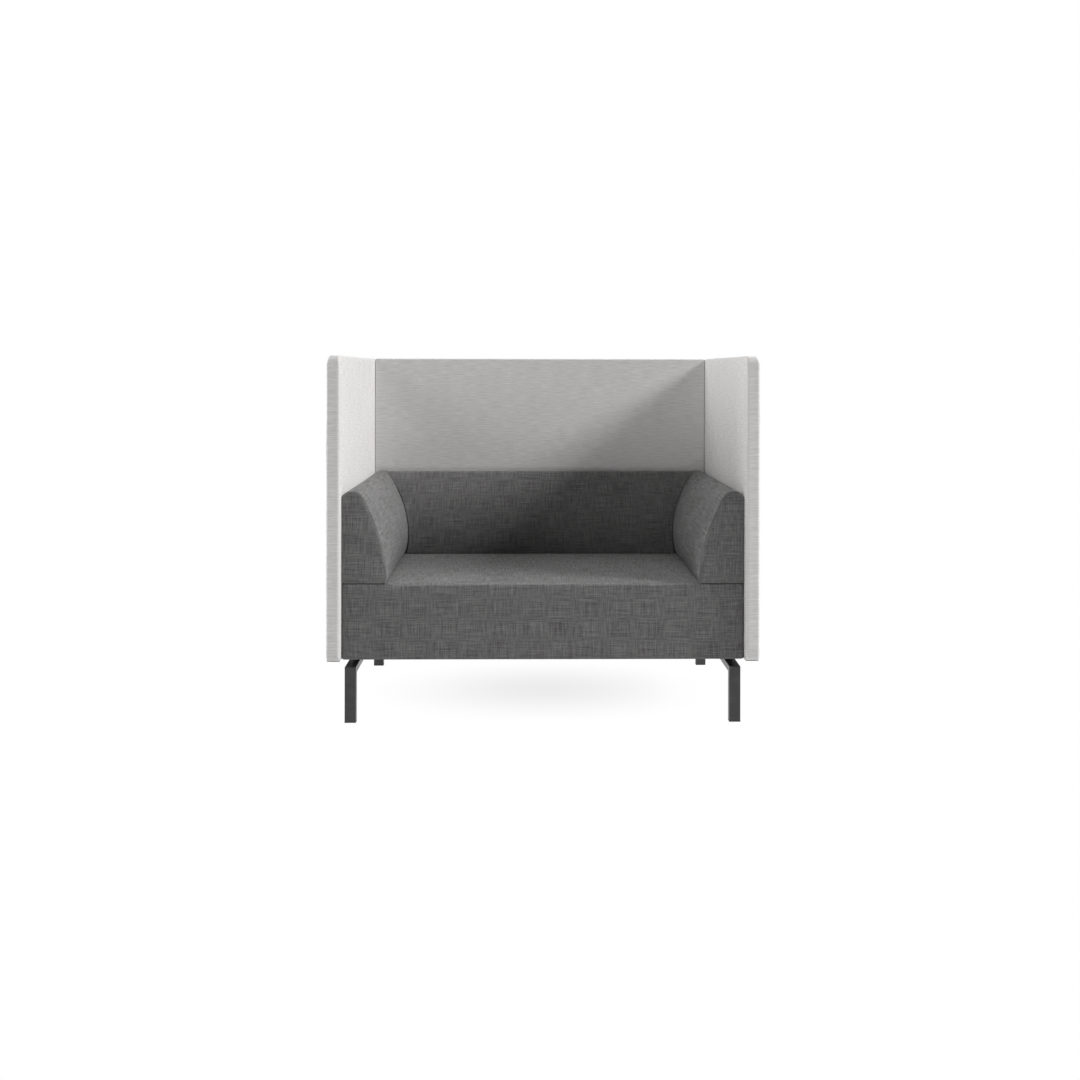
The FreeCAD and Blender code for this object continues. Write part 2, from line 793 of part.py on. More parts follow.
def drill_groups(label, fixings):
    """The bores of each kind of fixing, as one cutting tool per kind."""
    groups = {}
    for kind, items in fixings.items():
        groups[kind] = group(f"{label}_{kind}_drills", [item.drill for item in items])
    return groups


def leg_fixings():
    """Fixings from under the leg bars, through their spacers, into the side rails."""
    hardware = SimpleNamespace(
        bolt=mm.leg_bolt_radius,
        head=mm.leg_bolt_head_radius,
        bush=mm.leg_spacer_radius,
        insert=mm.leg_insert_radius,
        sunk_head=False,
    )
    head_low = leg_bar_low - mm.leg_bolt_head_height
    spacer_end = frame_low - head_low
    steps = (mm.leg_bolt_head_height, leg_top - head_low, spacer_end, spacer_end + mm.leg_insert_length)
    fixings = []
    for name, side in SIDES.items():
        for end, depth in (("front", leg_front + mm.leg_bolt_inset), ("rear", leg_rear - mm.leg_bolt_inset)):
            start = (side * leg_center, depth, head_low)
            fixings.append(fixing(f"{name}_{end}_leg", hardware, start, (0, 0, 1), steps))
    return fixings


# Leg frames and glides
def leg_outline(body, label, center, inset, foot):
    """The inverted U of a leg frame seen from the side, set in by an inset, down to its feet."""
    front = leg_front + inset
    rear = leg_rear - inset
    width = mm.leg_depth - 2 * inset
    top = leg_top - inset
    corners = [
        (front, foot),
        (front + width, foot),
        (front + width, top - width),
        (rear - width, top - width),
        (rear - width, foot),
        (rear, foot),
        (rear, top),
        (front, top),
    ]
    return outline(body, label, "YZ_Plane", center, corners)


def build_leg_frame(name, side, leg_drills):
    """One inverted-U leg frame of rectangular tube."""
    foot = mm.glide_height
    body = add("PartDesign::Body", f"{name}_leg_tube")
    center = side * leg_center
    profile = leg_outline(body, f"{name}_leg_outline", center, as_length(0), foot)
    frame = pad(body, f"{name}_leg_pad", profile, mm.leg_width, symmetric=True)

    def outside(edge):
        """Edges along the outer path of the frame."""
        box = edge.BoundBox
        on_front = abs(box.YMax - leg_front.value) < TOUCH
        on_rear = abs(box.YMin - leg_rear.value) < TOUCH
        return not level(edge, foot.value) and (on_front or on_rear or level(edge, leg_top.value))

    rounded = round_edges(body, f"{name}_leg_rim", frame, mm.leg_edge_radius, outside)
    channel = leg_outline(body, f"{name}_leg_channel", center, mm.leg_wall, foot)
    pocket = body.newObject("PartDesign::Pocket", f"{name}_leg_pocket")
    pocket.Profile = channel
    pocket.SideType = "Symmetric"
    bind(pocket, "Length", mm.leg_width - 2 * mm.leg_wall)
    doc.recompute()
    if pocket.Shape.Volume > rounded.Shape.Volume / 2:
        raise RuntimeError(f"{name} leg tube is not hollow")
    node(cut(f"{name}_leg_frame", body, leg_drills))


def build_glides():
    """Plastic plugs in the four tube ends."""
    glides = []
    inner_half = mm.leg_width / 2 - mm.leg_wall - mm.fit
    plug_edge = mm.leg_wall + mm.fit
    for name, side in SIDES.items():
        for end, place in (("front", leg_front), ("rear", leg_rear - mm.leg_depth)):
            label = f"{name}_{end}_glide"
            center = side * leg_center
            low = (center - mm.leg_width / 2, place, 0)
            high = (center + mm.leg_width / 2, place + mm.leg_depth, mm.glide_height)
            foot = block(f"{label}_foot", low, high)
            low = (center - inner_half, place + plug_edge, mm.glide_height)
            high = (center + inner_half, place + mm.leg_depth - plug_edge, mm.glide_height + mm.glide_plug)
            plug = block(f"{label}_plug", low, high)
            glides.append(fuse(label, [foot, plug]))
    node(group("foot_glides", glides))


def check_and_write():
    """Stop on any failed feature, then write each sub-part under its label."""
    doc.recompute()
    failed = [feature.Label for feature in doc.Objects if {"Invalid", "Error"} & set(feature.State)]
    for feature in nodes:
        shape = feature.Shape
        if shape.isNull() or not shape.isValid() or not shape.Solids:
            failed.append(feature.Label)
    if failed:
        raise RuntimeError("failed features: " + ", ".join(failed))
    os.makedirs("parts", exist_ok=True)
    for feature in nodes:
        feature.Shape.exportStep(f"parts/{feature.Label}.step")
    print(f"{len(nodes)} nodes, {sum(len(feature.Shape.Solids) for feature in nodes)} solids")


side_sets = {name: side_fixings(name, side) for name, side in SIDES.items()}
rear_set = rear_fixings()
leg_set = leg_fixings()
side_drills = {name: drill_groups(name, side_sets[name]) for name in SIDES}
rear_drills = drill_groups("rear", rear_set)
leg_drills = group("leg_drills", [item.drill for item in leg_set])

for name, side in SIDES.items():
    build_leg_frame(name, side, leg_drills)
build_glides()
node(group("leg_bolts", [item.bolt for item in leg_set]))
node(group("leg_spacers", [item.bush for item in leg_set]))
node(group("leg_inserts", [item.insert for item in leg_set]))

build_seat(side_drills, rear_drills, leg_drills)
for name, side in SIDES.items():
    build_arm(name, side, side_drills[name]["arm"])
build_back(rear_drills["back"])

strips = [build_panel(name, list(side_drills[name].values())) for name in SIDES]
corner_drills = [drills["corner"] for drills in side_drills.values()]
strips.append(build_panel("rear", [*rear_drills.values(), *corner_drills]))
node(group("panel_closing_strips", strips))
panel_set = []
for fixings in (*side_sets.values(), rear_set):
    for items in fixings.values():
        panel_set.extend(items)
node(group("panel_bolts", [item.bolt for item in panel_set]))
node(group("panel_bushes", [item.bush for item in panel_set]))
node(group("panel_inserts", [item.insert for item in panel_set]))

check_and_write()
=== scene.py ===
"""Looks of a two-seat lounge sofa with three padded privacy panels.

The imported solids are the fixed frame. Each padded piece is a closed grid worked out from the frame's
boxes, swollen as cloth, sewn and dressed in one of two woven fabrics. The metal, plastic and timber
pieces keep their solids and get their finishes here. Lengths are in metres, +Z is up and the front
of the sofa faces -Y.
"""
import logging
import math
from dataclasses import dataclass
from enum import Enum
from functools import cache
from typing import Any, ClassVar, Sequence

import bpy
import numpy as np
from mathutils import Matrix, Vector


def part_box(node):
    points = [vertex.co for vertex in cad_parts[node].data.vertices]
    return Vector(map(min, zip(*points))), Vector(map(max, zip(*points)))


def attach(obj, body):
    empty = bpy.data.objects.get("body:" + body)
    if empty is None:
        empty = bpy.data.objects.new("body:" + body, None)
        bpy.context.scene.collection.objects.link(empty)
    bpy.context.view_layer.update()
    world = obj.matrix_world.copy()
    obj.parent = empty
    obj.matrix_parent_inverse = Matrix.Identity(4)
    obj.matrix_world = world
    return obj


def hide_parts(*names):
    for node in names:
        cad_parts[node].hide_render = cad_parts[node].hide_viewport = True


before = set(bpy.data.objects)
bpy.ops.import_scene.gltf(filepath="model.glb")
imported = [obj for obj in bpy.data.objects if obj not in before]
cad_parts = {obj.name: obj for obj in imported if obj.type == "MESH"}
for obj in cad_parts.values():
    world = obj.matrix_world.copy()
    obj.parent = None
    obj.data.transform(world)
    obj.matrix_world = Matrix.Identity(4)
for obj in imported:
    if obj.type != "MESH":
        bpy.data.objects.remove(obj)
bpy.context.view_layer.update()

Array = np.ndarray
Pair = tuple[float, float]
Triple = tuple[float, float, float]
Colour = Triple
Edges = tuple[float, float, float, float]

MM = 0.001
BODY = "root"
SWELL_FRAMES = 20
# Farther from a seam than any seam's dip reaches.
FAR = 1.0
TINY = 1e-9
NOISE_MEAN = 0.5
ARM_WIDTH = 141 * MM
BACK_THICKNESS = 178 * MM
RIPPLES = 7
RIPPLE_SPREAD = (0.6, 1.6)
SHARPEST_CORNER = 0.3
WHITE = (1.0, 1.0, 1.0, 1.0)
SEEING_RAYS = ("Camera", "Glossy", "Transmission")
SWELLING = {
    "quality": 5, "mass": 0.3, "tension_stiffness": 25.0, "compression_stiffness": 25.0,
    "shear_stiffness": 12.0, "bending_stiffness": 2.0, "vertex_group_mass": "held",
    "use_pressure": True, "uniform_pressure_force": 4.0,
}

log = logging.getLogger("sofa")


class Side(Enum):
    """A side of the sofa seen from the front, as the sign of its X."""

    LEFT = -1
    RIGHT = 1

    @property
    def word(self) -> str:
        """The side as the names of pieces say it."""
        return self.name.lower()


class Grain(Enum):
    """The axis that a board's grain runs along."""

    ALONG_X = 0
    ALONG_Y = 1
    ALONG_Z = 2


class Value:
    """A number that varies over a surface: a node socket that takes part in arithmetic."""

    def __init__(self, recipe: "Recipe", socket: bpy.types.NodeSocket) -> None:
        """Keep the recipe that the socket belongs to."""
        self.recipe = recipe
        self.socket = socket

    def _combine(self, operation: str, first: Any, second: Any) -> "Value":
        """One Math node on two values."""
        return self.recipe.node("ShaderNodeMath", {"operation": operation}, {0: first, 1: second})

    def __add__(self, other: Any) -> "Value":
        """Add a value or a number."""
        return self._combine("ADD", self, other)

    __radd__ = __add__

    def __sub__(self, other: Any) -> "Value":
        """Take a value or a number away."""
        return self._combine("SUBTRACT", self, other)

    def __rsub__(self, other: Any) -> "Value":
        """Take this value away from a number."""
        return self._combine("SUBTRACT", other, self)

    def __mul__(self, other: Any) -> "Value":
        """Multiply by a value or a number."""
        return self._combine("MULTIPLY", self, other)

    __rmul__ = __mul__

    def sine(self) -> "Value":
        """The sine of an angle in radians."""
        return self.recipe.node("ShaderNodeMath", {"operation": "SINE"}, {0: self})

    def clear(self, low: float, high: float) -> "Value":
        """Spread the part from low to high over nought to one, smoothly and with no overshoot."""
        settings = {"interpolation_type": "SMOOTHSTEP"}
        return self.recipe.node("ShaderNodeMapRange", settings, {0: self, 1: low, 2: high}, 0)


class Recipe:
    """A node tree in the making, of a material or of the surroundings."""

    def __init__(self, owner: bpy.types.Material | bpy.types.World, output: str) -> None:
        """Start an empty tree with its output node.

        Args:
            owner: The material or surroundings that the tree belongs to.
            output: The type of its output node.
        """
        owner.use_nodes = True
        self.owner = owner
        self.tree = owner.node_tree
        self.tree.nodes.clear()
        self.output = self.tree.nodes.new(output)

    @classmethod
    def material(cls, name: str) -> "Recipe":
        """Start a new material."""
        return cls(bpy.data.materials.new(name), "ShaderNodeOutputMaterial")

    def node(
        self,
        kind: str,
        settings: dict[str, Any] | None = None,
        sockets: dict[int | str, Any] | None = None,
        output: int | str = 0,
    ) -> Value:
        """Add one node.

        Args:
            kind: The node's type.
            settings: Its options, set before its sockets.
            sockets: Numbers, colours or values for its inputs.
            output: Which of its outputs to hand on.

        Returns:
            The chosen output.
        """
        made = self.tree.nodes.new(kind)
        for name, setting in (settings or {}).items():
            setattr(made, name, setting)
        for key, value in (sockets or {}).items():
            if isinstance(value, Value):
                self.tree.links.new(value.socket, made.inputs[key])
            else:
                made.inputs[key].default_value = value
        return Value(self, made.outputs[output])

    def places(self) -> Value:
        """The point's place on the object."""
        return self.node("ShaderNodeTexCoord", output="Object")

    def cloth(self) -> Value:
        """The point's place on the flat cloth, in metres."""
        return self.node("ShaderNodeUVMap", {"uv_map": "cloth"})

    def stretch(self, vector: Value, scale: Sequence[float]) -> Value:
        """Multiply a vector by a scale for each axis."""
        sockets = {0: vector, 1: tuple(scale)}
        return self.node("ShaderNodeVectorMath", {"operation": "MULTIPLY"}, sockets)

    def part(self, vector: Value, axis: int) -> Value:
        """One part of a vector."""
        return self.node("ShaderNodeSeparateXYZ", sockets={0: vector}, output=axis)

    def wave(self, vector: Value, axis: int, length: float) -> Value:
        """A sine wave of a given length along one axis."""
        return (self.part(vector, axis) * (2 * math.pi / length)).sine()

    def noise(
        self, vector: Value, scale: float | Sequence[float], detail: float = 2.0, rough: float = 0.5
    ) -> Value:
        """Smooth noise, about one blot for each step of one in the stretched place.

        Args:
            vector: The place.
            scale: Blots in a metre, for all axes alike or for each.
            detail: Layers of finer noise.
            rough: Weight of each finer layer against the one before.

        Returns:
            A value of nought to one.
        """
        place = self.stretch(vector, (scale,) * 3 if isinstance(scale, float) else scale)
        sockets = {"Vector": place, "Scale": 1.0, "Detail": detail, "Roughness": rough}
        return self.node("ShaderNodeTexNoise", {"noise_dimensions": "3D"}, sockets, "Fac")

    def blend(self, share: Any, first: Any, second: Any) -> Value:
        """A colour between two colours.

        Args:
            share: How much of the second colour shows.
            first: A colour or a value.
            second: A colour or a value.

        Returns:
            The blended colour.
        """
        ends = [(*end, 1.0) if isinstance(end, tuple) else end for end in (first, second)]
        settings = {"data_type": "RGBA", "blend_type": "MIX", "clamp_factor": True}
        return self.node("ShaderNodeMix", settings, {0: share, 6: ends[0], 7: ends[1]}, 2)

    def bump(self, height: Value, depth: float) -> Value:
        """A surface direction from a height of nought to one over a depth in metres."""
        return self.node("ShaderNodeBump", sockets={"Strength": 1.0, "Distance": depth, "Height": height})

    def mixed(self, share: Value, first: Value, second: Value) -> Value:
        """A shader between two shaders."""
        return self.node("ShaderNodeMixShader", sockets={0: share, 1: first, 2: second})

    def finish(self, shader: Value) -> Any:
        """Join a shader to the output and hand back what the tree belongs to."""
        self.tree.links.new(shader.socket, self.output.inputs["Surface"])
        return self.owner

    def shader(self, sockets: dict[str, Any]) -> Value:
        """A Principled shader."""
        return self.node("ShaderNodeBsdfPrincipled", sockets=sockets)

    def seen(self) -> Value:
        """One where the eye, a mirror or glass looks at the surface, and nought for light."""
        rays = [self.node("ShaderNodeLightPath", output=f"Is {ray} Ray") for ray in SEEING_RAYS]
        return (rays[0] + rays[1] + rays[2]).clear(0.0, 1.0)


def tinted(colour: Colour, factor: float, haze: float = 0.0) -> Colour:
    """A colour made paler or darker by a factor, with a haze of white over it."""
    return tuple(min(1.0, factor * part + haze) for part in colour)


@dataclass(frozen=True, kw_only=True)
class Finish:
    """A surface with a pattern in its colour, its dullness and its relief.

    Attributes:
        name: The material's name.
        metal: One for bare metal.
        roughness: How dull it is where the pattern is nought.
        dulling: How much duller it is where the pattern is one.
        relief: Depth of its relief.
    """

    name: str
    metal: float = 0.0
    roughness: float
    dulling: float
    relief: float

    def look(self, recipe: Recipe) -> tuple[Value, Value, Value]:
        """The colour, the pattern that dulls the surface, and its height."""
        raise NotImplementedError

    def sockets(self, recipe: Recipe, look: tuple[Value, Value, Value]) -> dict[str, Any]:
        """What a shader's sockets take for a look.

        Args:
            recipe: The material in the making.
            look: The colour, the pattern that dulls the surface, and its height.

        Returns:
            A value or a number for each socket, by name.
        """
        colour, pattern, height = look
        return {
            "Base Color": colour,
            "Metallic": self.metal,
            "Roughness": self.roughness + pattern * self.dulling,
            "Normal": recipe.bump(height, self.relief),
        }

    def build(self) -> bpy.types.Material:
        """Make the material."""
        recipe = Recipe.material(self.name)
        return recipe.finish(recipe.shader(self.sockets(recipe, self.look(recipe))))


@cache
def material_of(finish: Finish) -> bpy.types.Material:
    """A finish's material, made once."""
    return finish.build()


@dataclass(frozen=True, kw_only=True)
class WovenCloth(Finish):
    """A plain weave whose yarns change shade along their length.

    Attributes:
        deep: The darkest yarn.
        pale: The lightest yarn.
        yarn: Width of one yarn.
        slub: Width of a bundle of like yarns.
        weft_run: Length over which a level yarn keeps its shade.
        warp_run: Length over which an upright yarn keeps its shade.
        warp_share: How much the upright yarns show, from nought to one.
        spread: Share of the noise that lies between the deep and the pale yarn: less is starker.
        sheen: Weight of the fine hairs' sheen on the palest yarn.
        hairs: Colour of that sheen.
        mottle: How much the yarn's flecks of mixed fibre lighten and darken it.
        block: Size of a patch in which one set of yarns leads.
        fleck: Size of a fleck.
    """

    roughness: float = 0.94
    dulling: float = -0.12
    deep: Colour
    pale: Colour
    yarn: float
    slub: float
    weft_run: float
    warp_run: float
    warp_share: float
    spread: float
    sheen: float
    hairs: Colour
    mottle: float
    block: float = 55 * MM
    fleck: float = 12 * MM

    YARN_NOISE: ClassVar[Pair] = (3.0, 0.62)
    FLECK_NOISE: ClassVar[Pair] = (2.0, 0.6)
    LEAD: ClassVar[float] = 1.3
    SOFT_CROSSING: ClassVar[float] = 0.7
    CLOUDS_IN_A_METRE: ClassVar[float] = 9.0
    CLOUD_SHARE: ClassVar[float] = 0.12
    CROSSING_HEIGHT: ClassVar[float] = 0.25
    YARN_HEIGHT: ClassVar[float] = 0.9
    SPECULAR: ClassVar[float] = 0.25
    HAIR_ROUGHNESS: ClassVar[float] = 0.45

    def build(self) -> bpy.types.Material:
        """Make the material.

        A level yarn's shade is noise drawn out along it, and an upright one's likewise. Which of the two
        lies on top goes by the product of two sines, one across each set of yarns, and one set leads in
        patches. The paler a yarn is, the more fine hairs stand off it.

        Returns:
            The material.
        """
        recipe = Recipe.material(self.name)
        flat = recipe.cloth()
        bundle = 1.0 / self.slub
        weft = recipe.noise(flat, (1 / self.weft_run, bundle, 1.0), *self.YARN_NOISE)
        warp = recipe.noise(flat, (bundle, 1 / self.warp_run, 1.0), *self.YARN_NOISE)
        crossing = recipe.wave(flat, 0, 2 * self.yarn) * recipe.wave(flat, 1, 2 * self.yarn)
        lead = recipe.noise(flat, 1 / self.block, detail=1.0) - NOISE_MEAN
        over = (crossing + lead * self.LEAD).clear(-self.SOFT_CROSSING, self.SOFT_CROSSING) * self.warp_share
        shade = weft * (1.0 - over) + warp * over
        cloud = recipe.noise(flat, self.CLOUDS_IN_A_METRE, detail=1.0) - NOISE_MEAN
        flecks = recipe.noise(flat, 1 / self.fleck, *self.FLECK_NOISE) - NOISE_MEAN
        share = shade.clear(NOISE_MEAN - self.spread, NOISE_MEAN + self.spread) + cloud * self.CLOUD_SHARE
        share = share + flecks * self.mottle
        height = crossing * self.CROSSING_HEIGHT + 0.5 + (shade - NOISE_MEAN) * self.YARN_HEIGHT
        plain = self.sockets(recipe, (recipe.blend(share, self.deep, self.pale), shade, height))
        plain["Specular IOR Level"] = self.SPECULAR
        hairy = plain | {
            "Sheen Weight": self.sheen,
            "Sheen Roughness": self.HAIR_ROUGHNESS,
            "Sheen Tint": (*self.hairs, 1.0),
        }
        return recipe.finish(recipe.mixed(share, recipe.shader(plain), recipe.shader(hairy)))


@dataclass(frozen=True, kw_only=True)
class PowderCoat(Finish):
    """Satin baked paint on steel, with a fine orange-peel skin and paler, duller handling marks."""

    roughness: float = 0.24
    dulling: float = 0.14
    relief: float = 0.04 * MM
    colour: Colour
    peel: float = 1.1 * MM
    paling: float = 1.5
    marks_in_a_metre: Triple = (14.0, 14.0, 30.0)
    marked: Pair = (0.4, 0.75)

    def look(self, recipe: Recipe) -> tuple[Value, Value, Value]:
        """Noise for the peel, and broader noise for handling marks.

        Args:
            recipe: The material in the making.

        Returns:
            The colour, the pattern that dulls the surface, and its height.
        """
        place = recipe.places()
        marks = recipe.noise(place, self.marks_in_a_metre, detail=4.0)
        worn = tinted(self.colour, self.paling)
        colour = recipe.blend(marks.clear(*self.marked), self.colour, worn)
        return colour, marks, recipe.noise(place, 1 / self.peel, detail=1.0)


@dataclass(frozen=True, kw_only=True)
class MouldedPlastic(Finish):
    """Dull moulded plastic with a spark-eroded grain and paler scuffs."""

    roughness: float = 0.5
    dulling: float = 0.2
    relief: float = 0.05 * MM
    colour: Colour
    grain: float = 0.6 * MM
    paling: float = 1.6
    haze: float = 0.01
    scuffs_in_a_metre: float = 60.0
    scuffed: Pair = (0.5, 0.8)

    def look(self, recipe: Recipe) -> tuple[Value, Value, Value]:
        """Fine noise for the grain, broad noise for scuffs.

        Args:
            recipe: The material in the making.

        Returns:
            The colour, the pattern that dulls the surface, and its height.
        """
        place = recipe.places()
        grain = recipe.noise(place, 1 / self.grain, detail=1.0)
        scuff = recipe.noise(place, self.scuffs_in_a_metre, detail=4.0)
        pale = tinted(self.colour, self.paling, self.haze)
        return recipe.blend(scuff.clear(*self.scuffed), self.colour, pale), grain, grain


@dataclass(frozen=True, kw_only=True)
class PlatedSteel(Finish):
    """Zinc-plated fasteners with a faintly clouded plating."""

    metal: float = 1.0
    roughness: float = 0.28
    dulling: float = 0.2
    relief: float = 0.02 * MM
    colour: Colour
    darkening: float = 0.7
    clouds_in_a_metre: float = 220.0
    grit_in_a_metre: float = 1500.0

    def look(self, recipe: Recipe) -> tuple[Value, Value, Value]:
        """Two scales of noise cloud the plating's colour and gloss.

        Args:
            recipe: The material in the making.

        Returns:
            The colour, the pattern that dulls the surface, and its height.
        """
        place = recipe.places()
        cloud = recipe.noise(place, self.clouds_in_a_metre, detail=3.0)
        grit = recipe.noise(place, self.grit_in_a_metre, detail=1.0)
        return recipe.blend(cloud, tinted(self.colour, self.darkening), self.colour), cloud, grit


@dataclass(frozen=True, kw_only=True)
class Timber(Finish):
    """Planed softwood with growth lines along its length."""

    roughness: float = 0.55
    dulling: float = 0.2
    relief: float = 0.12 * MM
    early: Colour
    late: Colour
    grain: Grain
    line: float = 7 * MM
    bends_in_a_metre: float = 1.5
    bend_angle: float = 14.0
    fibres_along: float = 40.0
    fibres_across: float = 1400.0
    late_share: float = 0.4
    line_share: float = 0.28
    fibre_share: float = 0.5

    def look(self, recipe: Recipe) -> tuple[Value, Value, Value]:
        """Growth lines by the sine of the place across the grain, bent by drawn-out noise.

        Args:
            recipe: The material in the making.

        Returns:
            The colour, the pattern that dulls the surface, and its height.
        """
        place = recipe.places()
        along = self.grain.value
        drawn, thin = [1 / (4 * self.line)] * 3, [self.fibres_across] * 3
        drawn[along], thin[along] = self.bends_in_a_metre, self.fibres_along
        turn = recipe.part(place, (along + 1) % 3) * (2 * math.pi / self.line)
        rings = (turn + recipe.noise(place, drawn) * self.bend_angle).sine()
        fibres = recipe.noise(place, thin)
        share = rings * self.line_share + self.late_share + (fibres - NOISE_MEAN) * self.fibre_share
        return recipe.blend(share, self.early, self.late), fibres, fibres


@dataclass(frozen=True, kw_only=True)
class Plywood(Finish):
    """Birch plywood: pale face veneer with thin layers at its edges."""

    roughness: float = 0.6
    dulling: float = 0.2
    relief: float = 0.1 * MM
    pale: Colour
    brown: Colour
    layered: Grain
    ply: float = 1.5 * MM
    fibres_in_a_metre: Triple = (220.0, 220.0, 9.0)
    layer_edge: Pair = (-0.5, 0.5)
    layer_share: float = 0.45
    fibre_share: float = 0.7
    palest_fibre: float = 0.3

    def look(self, recipe: Recipe) -> tuple[Value, Value, Value]:
        """Layers by the sine of the place across the board, fibres by noise.

        Args:
            recipe: The material in the making.

        Returns:
            The colour, the pattern that dulls the surface, and its height.
        """
        place = recipe.places()
        layers = recipe.wave(place, self.layered.value, 2 * self.ply).clear(*self.layer_edge)
        fibres = recipe.noise(place, self.fibres_in_a_metre, detail=4.0, rough=0.6)
        share = layers * self.layer_share + (fibres - self.palest_fibre) * self.fibre_share
        return recipe.blend(share, self.pale, self.brown), fibres, fibres


@dataclass(frozen=True, kw_only=True)
class Webbing(Finish):
    """Elastic upholstery strap: ribbed across, with paler runs of yarn."""

    roughness: float = 0.8
    dulling: float = 0.15
    relief: float = 0.4 * MM
    dark: Colour
    stripe: Colour
    rib: float = 3 * MM
    runs_in_a_metre: Triple = (90.0, 90.0, 1.0)
    striped: Pair = (0.45, 0.7)

    def look(self, recipe: Recipe) -> tuple[Value, Value, Value]:
        """Ribs by sines along both level axes, runs of yarn by noise.

        Args:
            recipe: The material in the making.

        Returns:
            The colour, the pattern that dulls the surface, and its height.
        """
        place = recipe.places()
        weave = recipe.wave(place, 0, self.rib) * recipe.wave(place, 1, self.rib)
        runs = recipe.noise(place, self.runs_in_a_metre)
        return recipe.blend(runs.clear(*self.striped), self.dark, self.stripe), runs, weave * 0.5 + 0.5


@dataclass(frozen=True, kw_only=True)
class PressedFelt(Finish):
    """Thin black lining cloth, pressed with rows of small dimples."""

    roughness: float = 0.85
    dulling: float = 0.1
    relief: float = 0.25 * MM
    dark: Colour
    pale: Colour
    dimple: float = 2.2 * MM
    fibres_in_a_metre: float = 600.0
    pale_fibres: Pair = (0.35, 0.75)
    dimpled: Pair = (0.2, 0.8)
    pressing: float = 0.4

    def look(self, recipe: Recipe) -> tuple[Value, Value, Value]:
        """Dimples by the product of two sines, fibres by noise.

        Args:
            recipe: The material in the making.

        Returns:
            The colour, the pattern that dulls the surface, and its height.
        """
        flat = recipe.cloth()
        dimples = recipe.wave(flat, 0, self.dimple) * recipe.wave(flat, 1, self.dimple)
        fibres = recipe.noise(flat, self.fibres_in_a_metre, detail=4.0, rough=0.7)
        share = fibres.clear(*self.pale_fibres) - dimples.clear(*self.dimpled) * self.pressing
        return recipe.blend(share, self.dark, self.pale), fibres, (fibres - dimples) * self.pressing


PANEL_CLOTH = WovenCloth(
    name="panel_fabric", deep=(0.61, 0.60, 0.595), pale=(0.79, 0.78, 0.775), yarn=1.6 * MM, slub=2.6 * MM,
    weft_run=48 * MM, warp_run=40 * MM, warp_share=0.25, spread=0.19, relief=0.2 * MM, sheen=0.20,
    hairs=(0.8, 0.8, 0.8), mottle=0.0,
)
SEAT_CLOTH = WovenCloth(
    name="seat_fabric", deep=(0.073, 0.0716, 0.0711), pale=(0.233, 0.229, 0.228), yarn=2.2 * MM,
    slub=2.4 * MM, weft_run=90 * MM, warp_run=65 * MM, warp_share=1.0, spread=0.18, relief=0.8 * MM,
    sheen=0.54, hairs=(0.6, 0.6, 0.6), mottle=0.5,
)
CHARCOAL = PowderCoat(name="leg_metal", colour=(0.031, 0.031, 0.033))
BLACK_PLASTIC = MouldedPlastic(name="glide_plastic", colour=(0.022, 0.022, 0.022))
BUSH_PLASTIC = MouldedPlastic(name="bush_plastic", colour=(0.06, 0.06, 0.06))
ZINC = PlatedSteel(name="fastener_steel", colour=(0.62, 0.62, 0.61))
STRAP = Webbing(name="webbing", dark=(0.055, 0.055, 0.055), stripe=(0.16, 0.15, 0.13))
LINING = PressedFelt(name="dust_cloth", dark=(0.018, 0.018, 0.018), pale=(0.060, 0.060, 0.060))


@dataclass
class Form:
    """A closed surface of quads.

    Attributes:
        points: Corner places, one row each.
        quads: Corner numbers of each quad.
        cloth: Cloth coordinates of each quad's corners, in metres.
        seam: Signed distance of each corner from the nearest seam.
    """

    points: Array
    quads: Array
    cloth: Array
    seam: Array | None = None

    def __post_init__(self) -> None:
        """Without seams, every corner is far from one."""
        if self.seam is None:
            self.seam = np.full(len(self.points), FAR)


def stops(marks: Sequence[float], cell: float) -> Array:
    """Even steps of about one cell between marks that are all hit.

    Args:
        marks: Places in order.
        cell: The wanted step.

    Returns:
        The places of all steps, both ends included.
    """
    spans = zip(marks, marks[1:])
    parts = [np.linspace(a, b, max(1, round(abs(b - a) / cell)), endpoint=False) for a, b in spans]
    return np.concatenate([*parts, marks[-1:]])


def passed(line: Array) -> Array:
    """Length passed at each point of a line of points."""
    steps = np.linalg.norm(np.diff(line, axis=0), axis=-1)
    return np.concatenate([[0.0], np.cumsum(steps)])


def corners(grid: Array) -> Array:
    """The four corners of every cell of a grid of corner numbers or coordinates.

    Args:
        grid: Rows and columns, with any parts of a coordinate last.

    Returns:
        One row for each cell, with its corners in order round it.
    """
    cells = np.stack([grid[:-1, :-1], grid[:-1, 1:], grid[1:, 1:], grid[1:, :-1]], axis=2)
    return cells.reshape(-1, 4, *grid.shape[2:])


def four_sides(ring: Array, across: int, up: int) -> tuple[Array, Array, Array, Array]:
    """Cut a ring into its lower, right, upper and left side.

    Args:
        ring: A closed ring whose sides have across, up, across and up cells.
        across: Cells along its lower side.
        up: Cells along its right side.

    Returns:
        The four sides, the last two turned to run along the first two.
    """
    closed = np.concatenate([ring, ring[:1]])
    low, right = closed[: across + 1], closed[across : across + up + 1]
    high, left = closed[across + up : 2 * across + up + 1][::-1], closed[2 * across + up :][::-1]
    return low, right, high, left


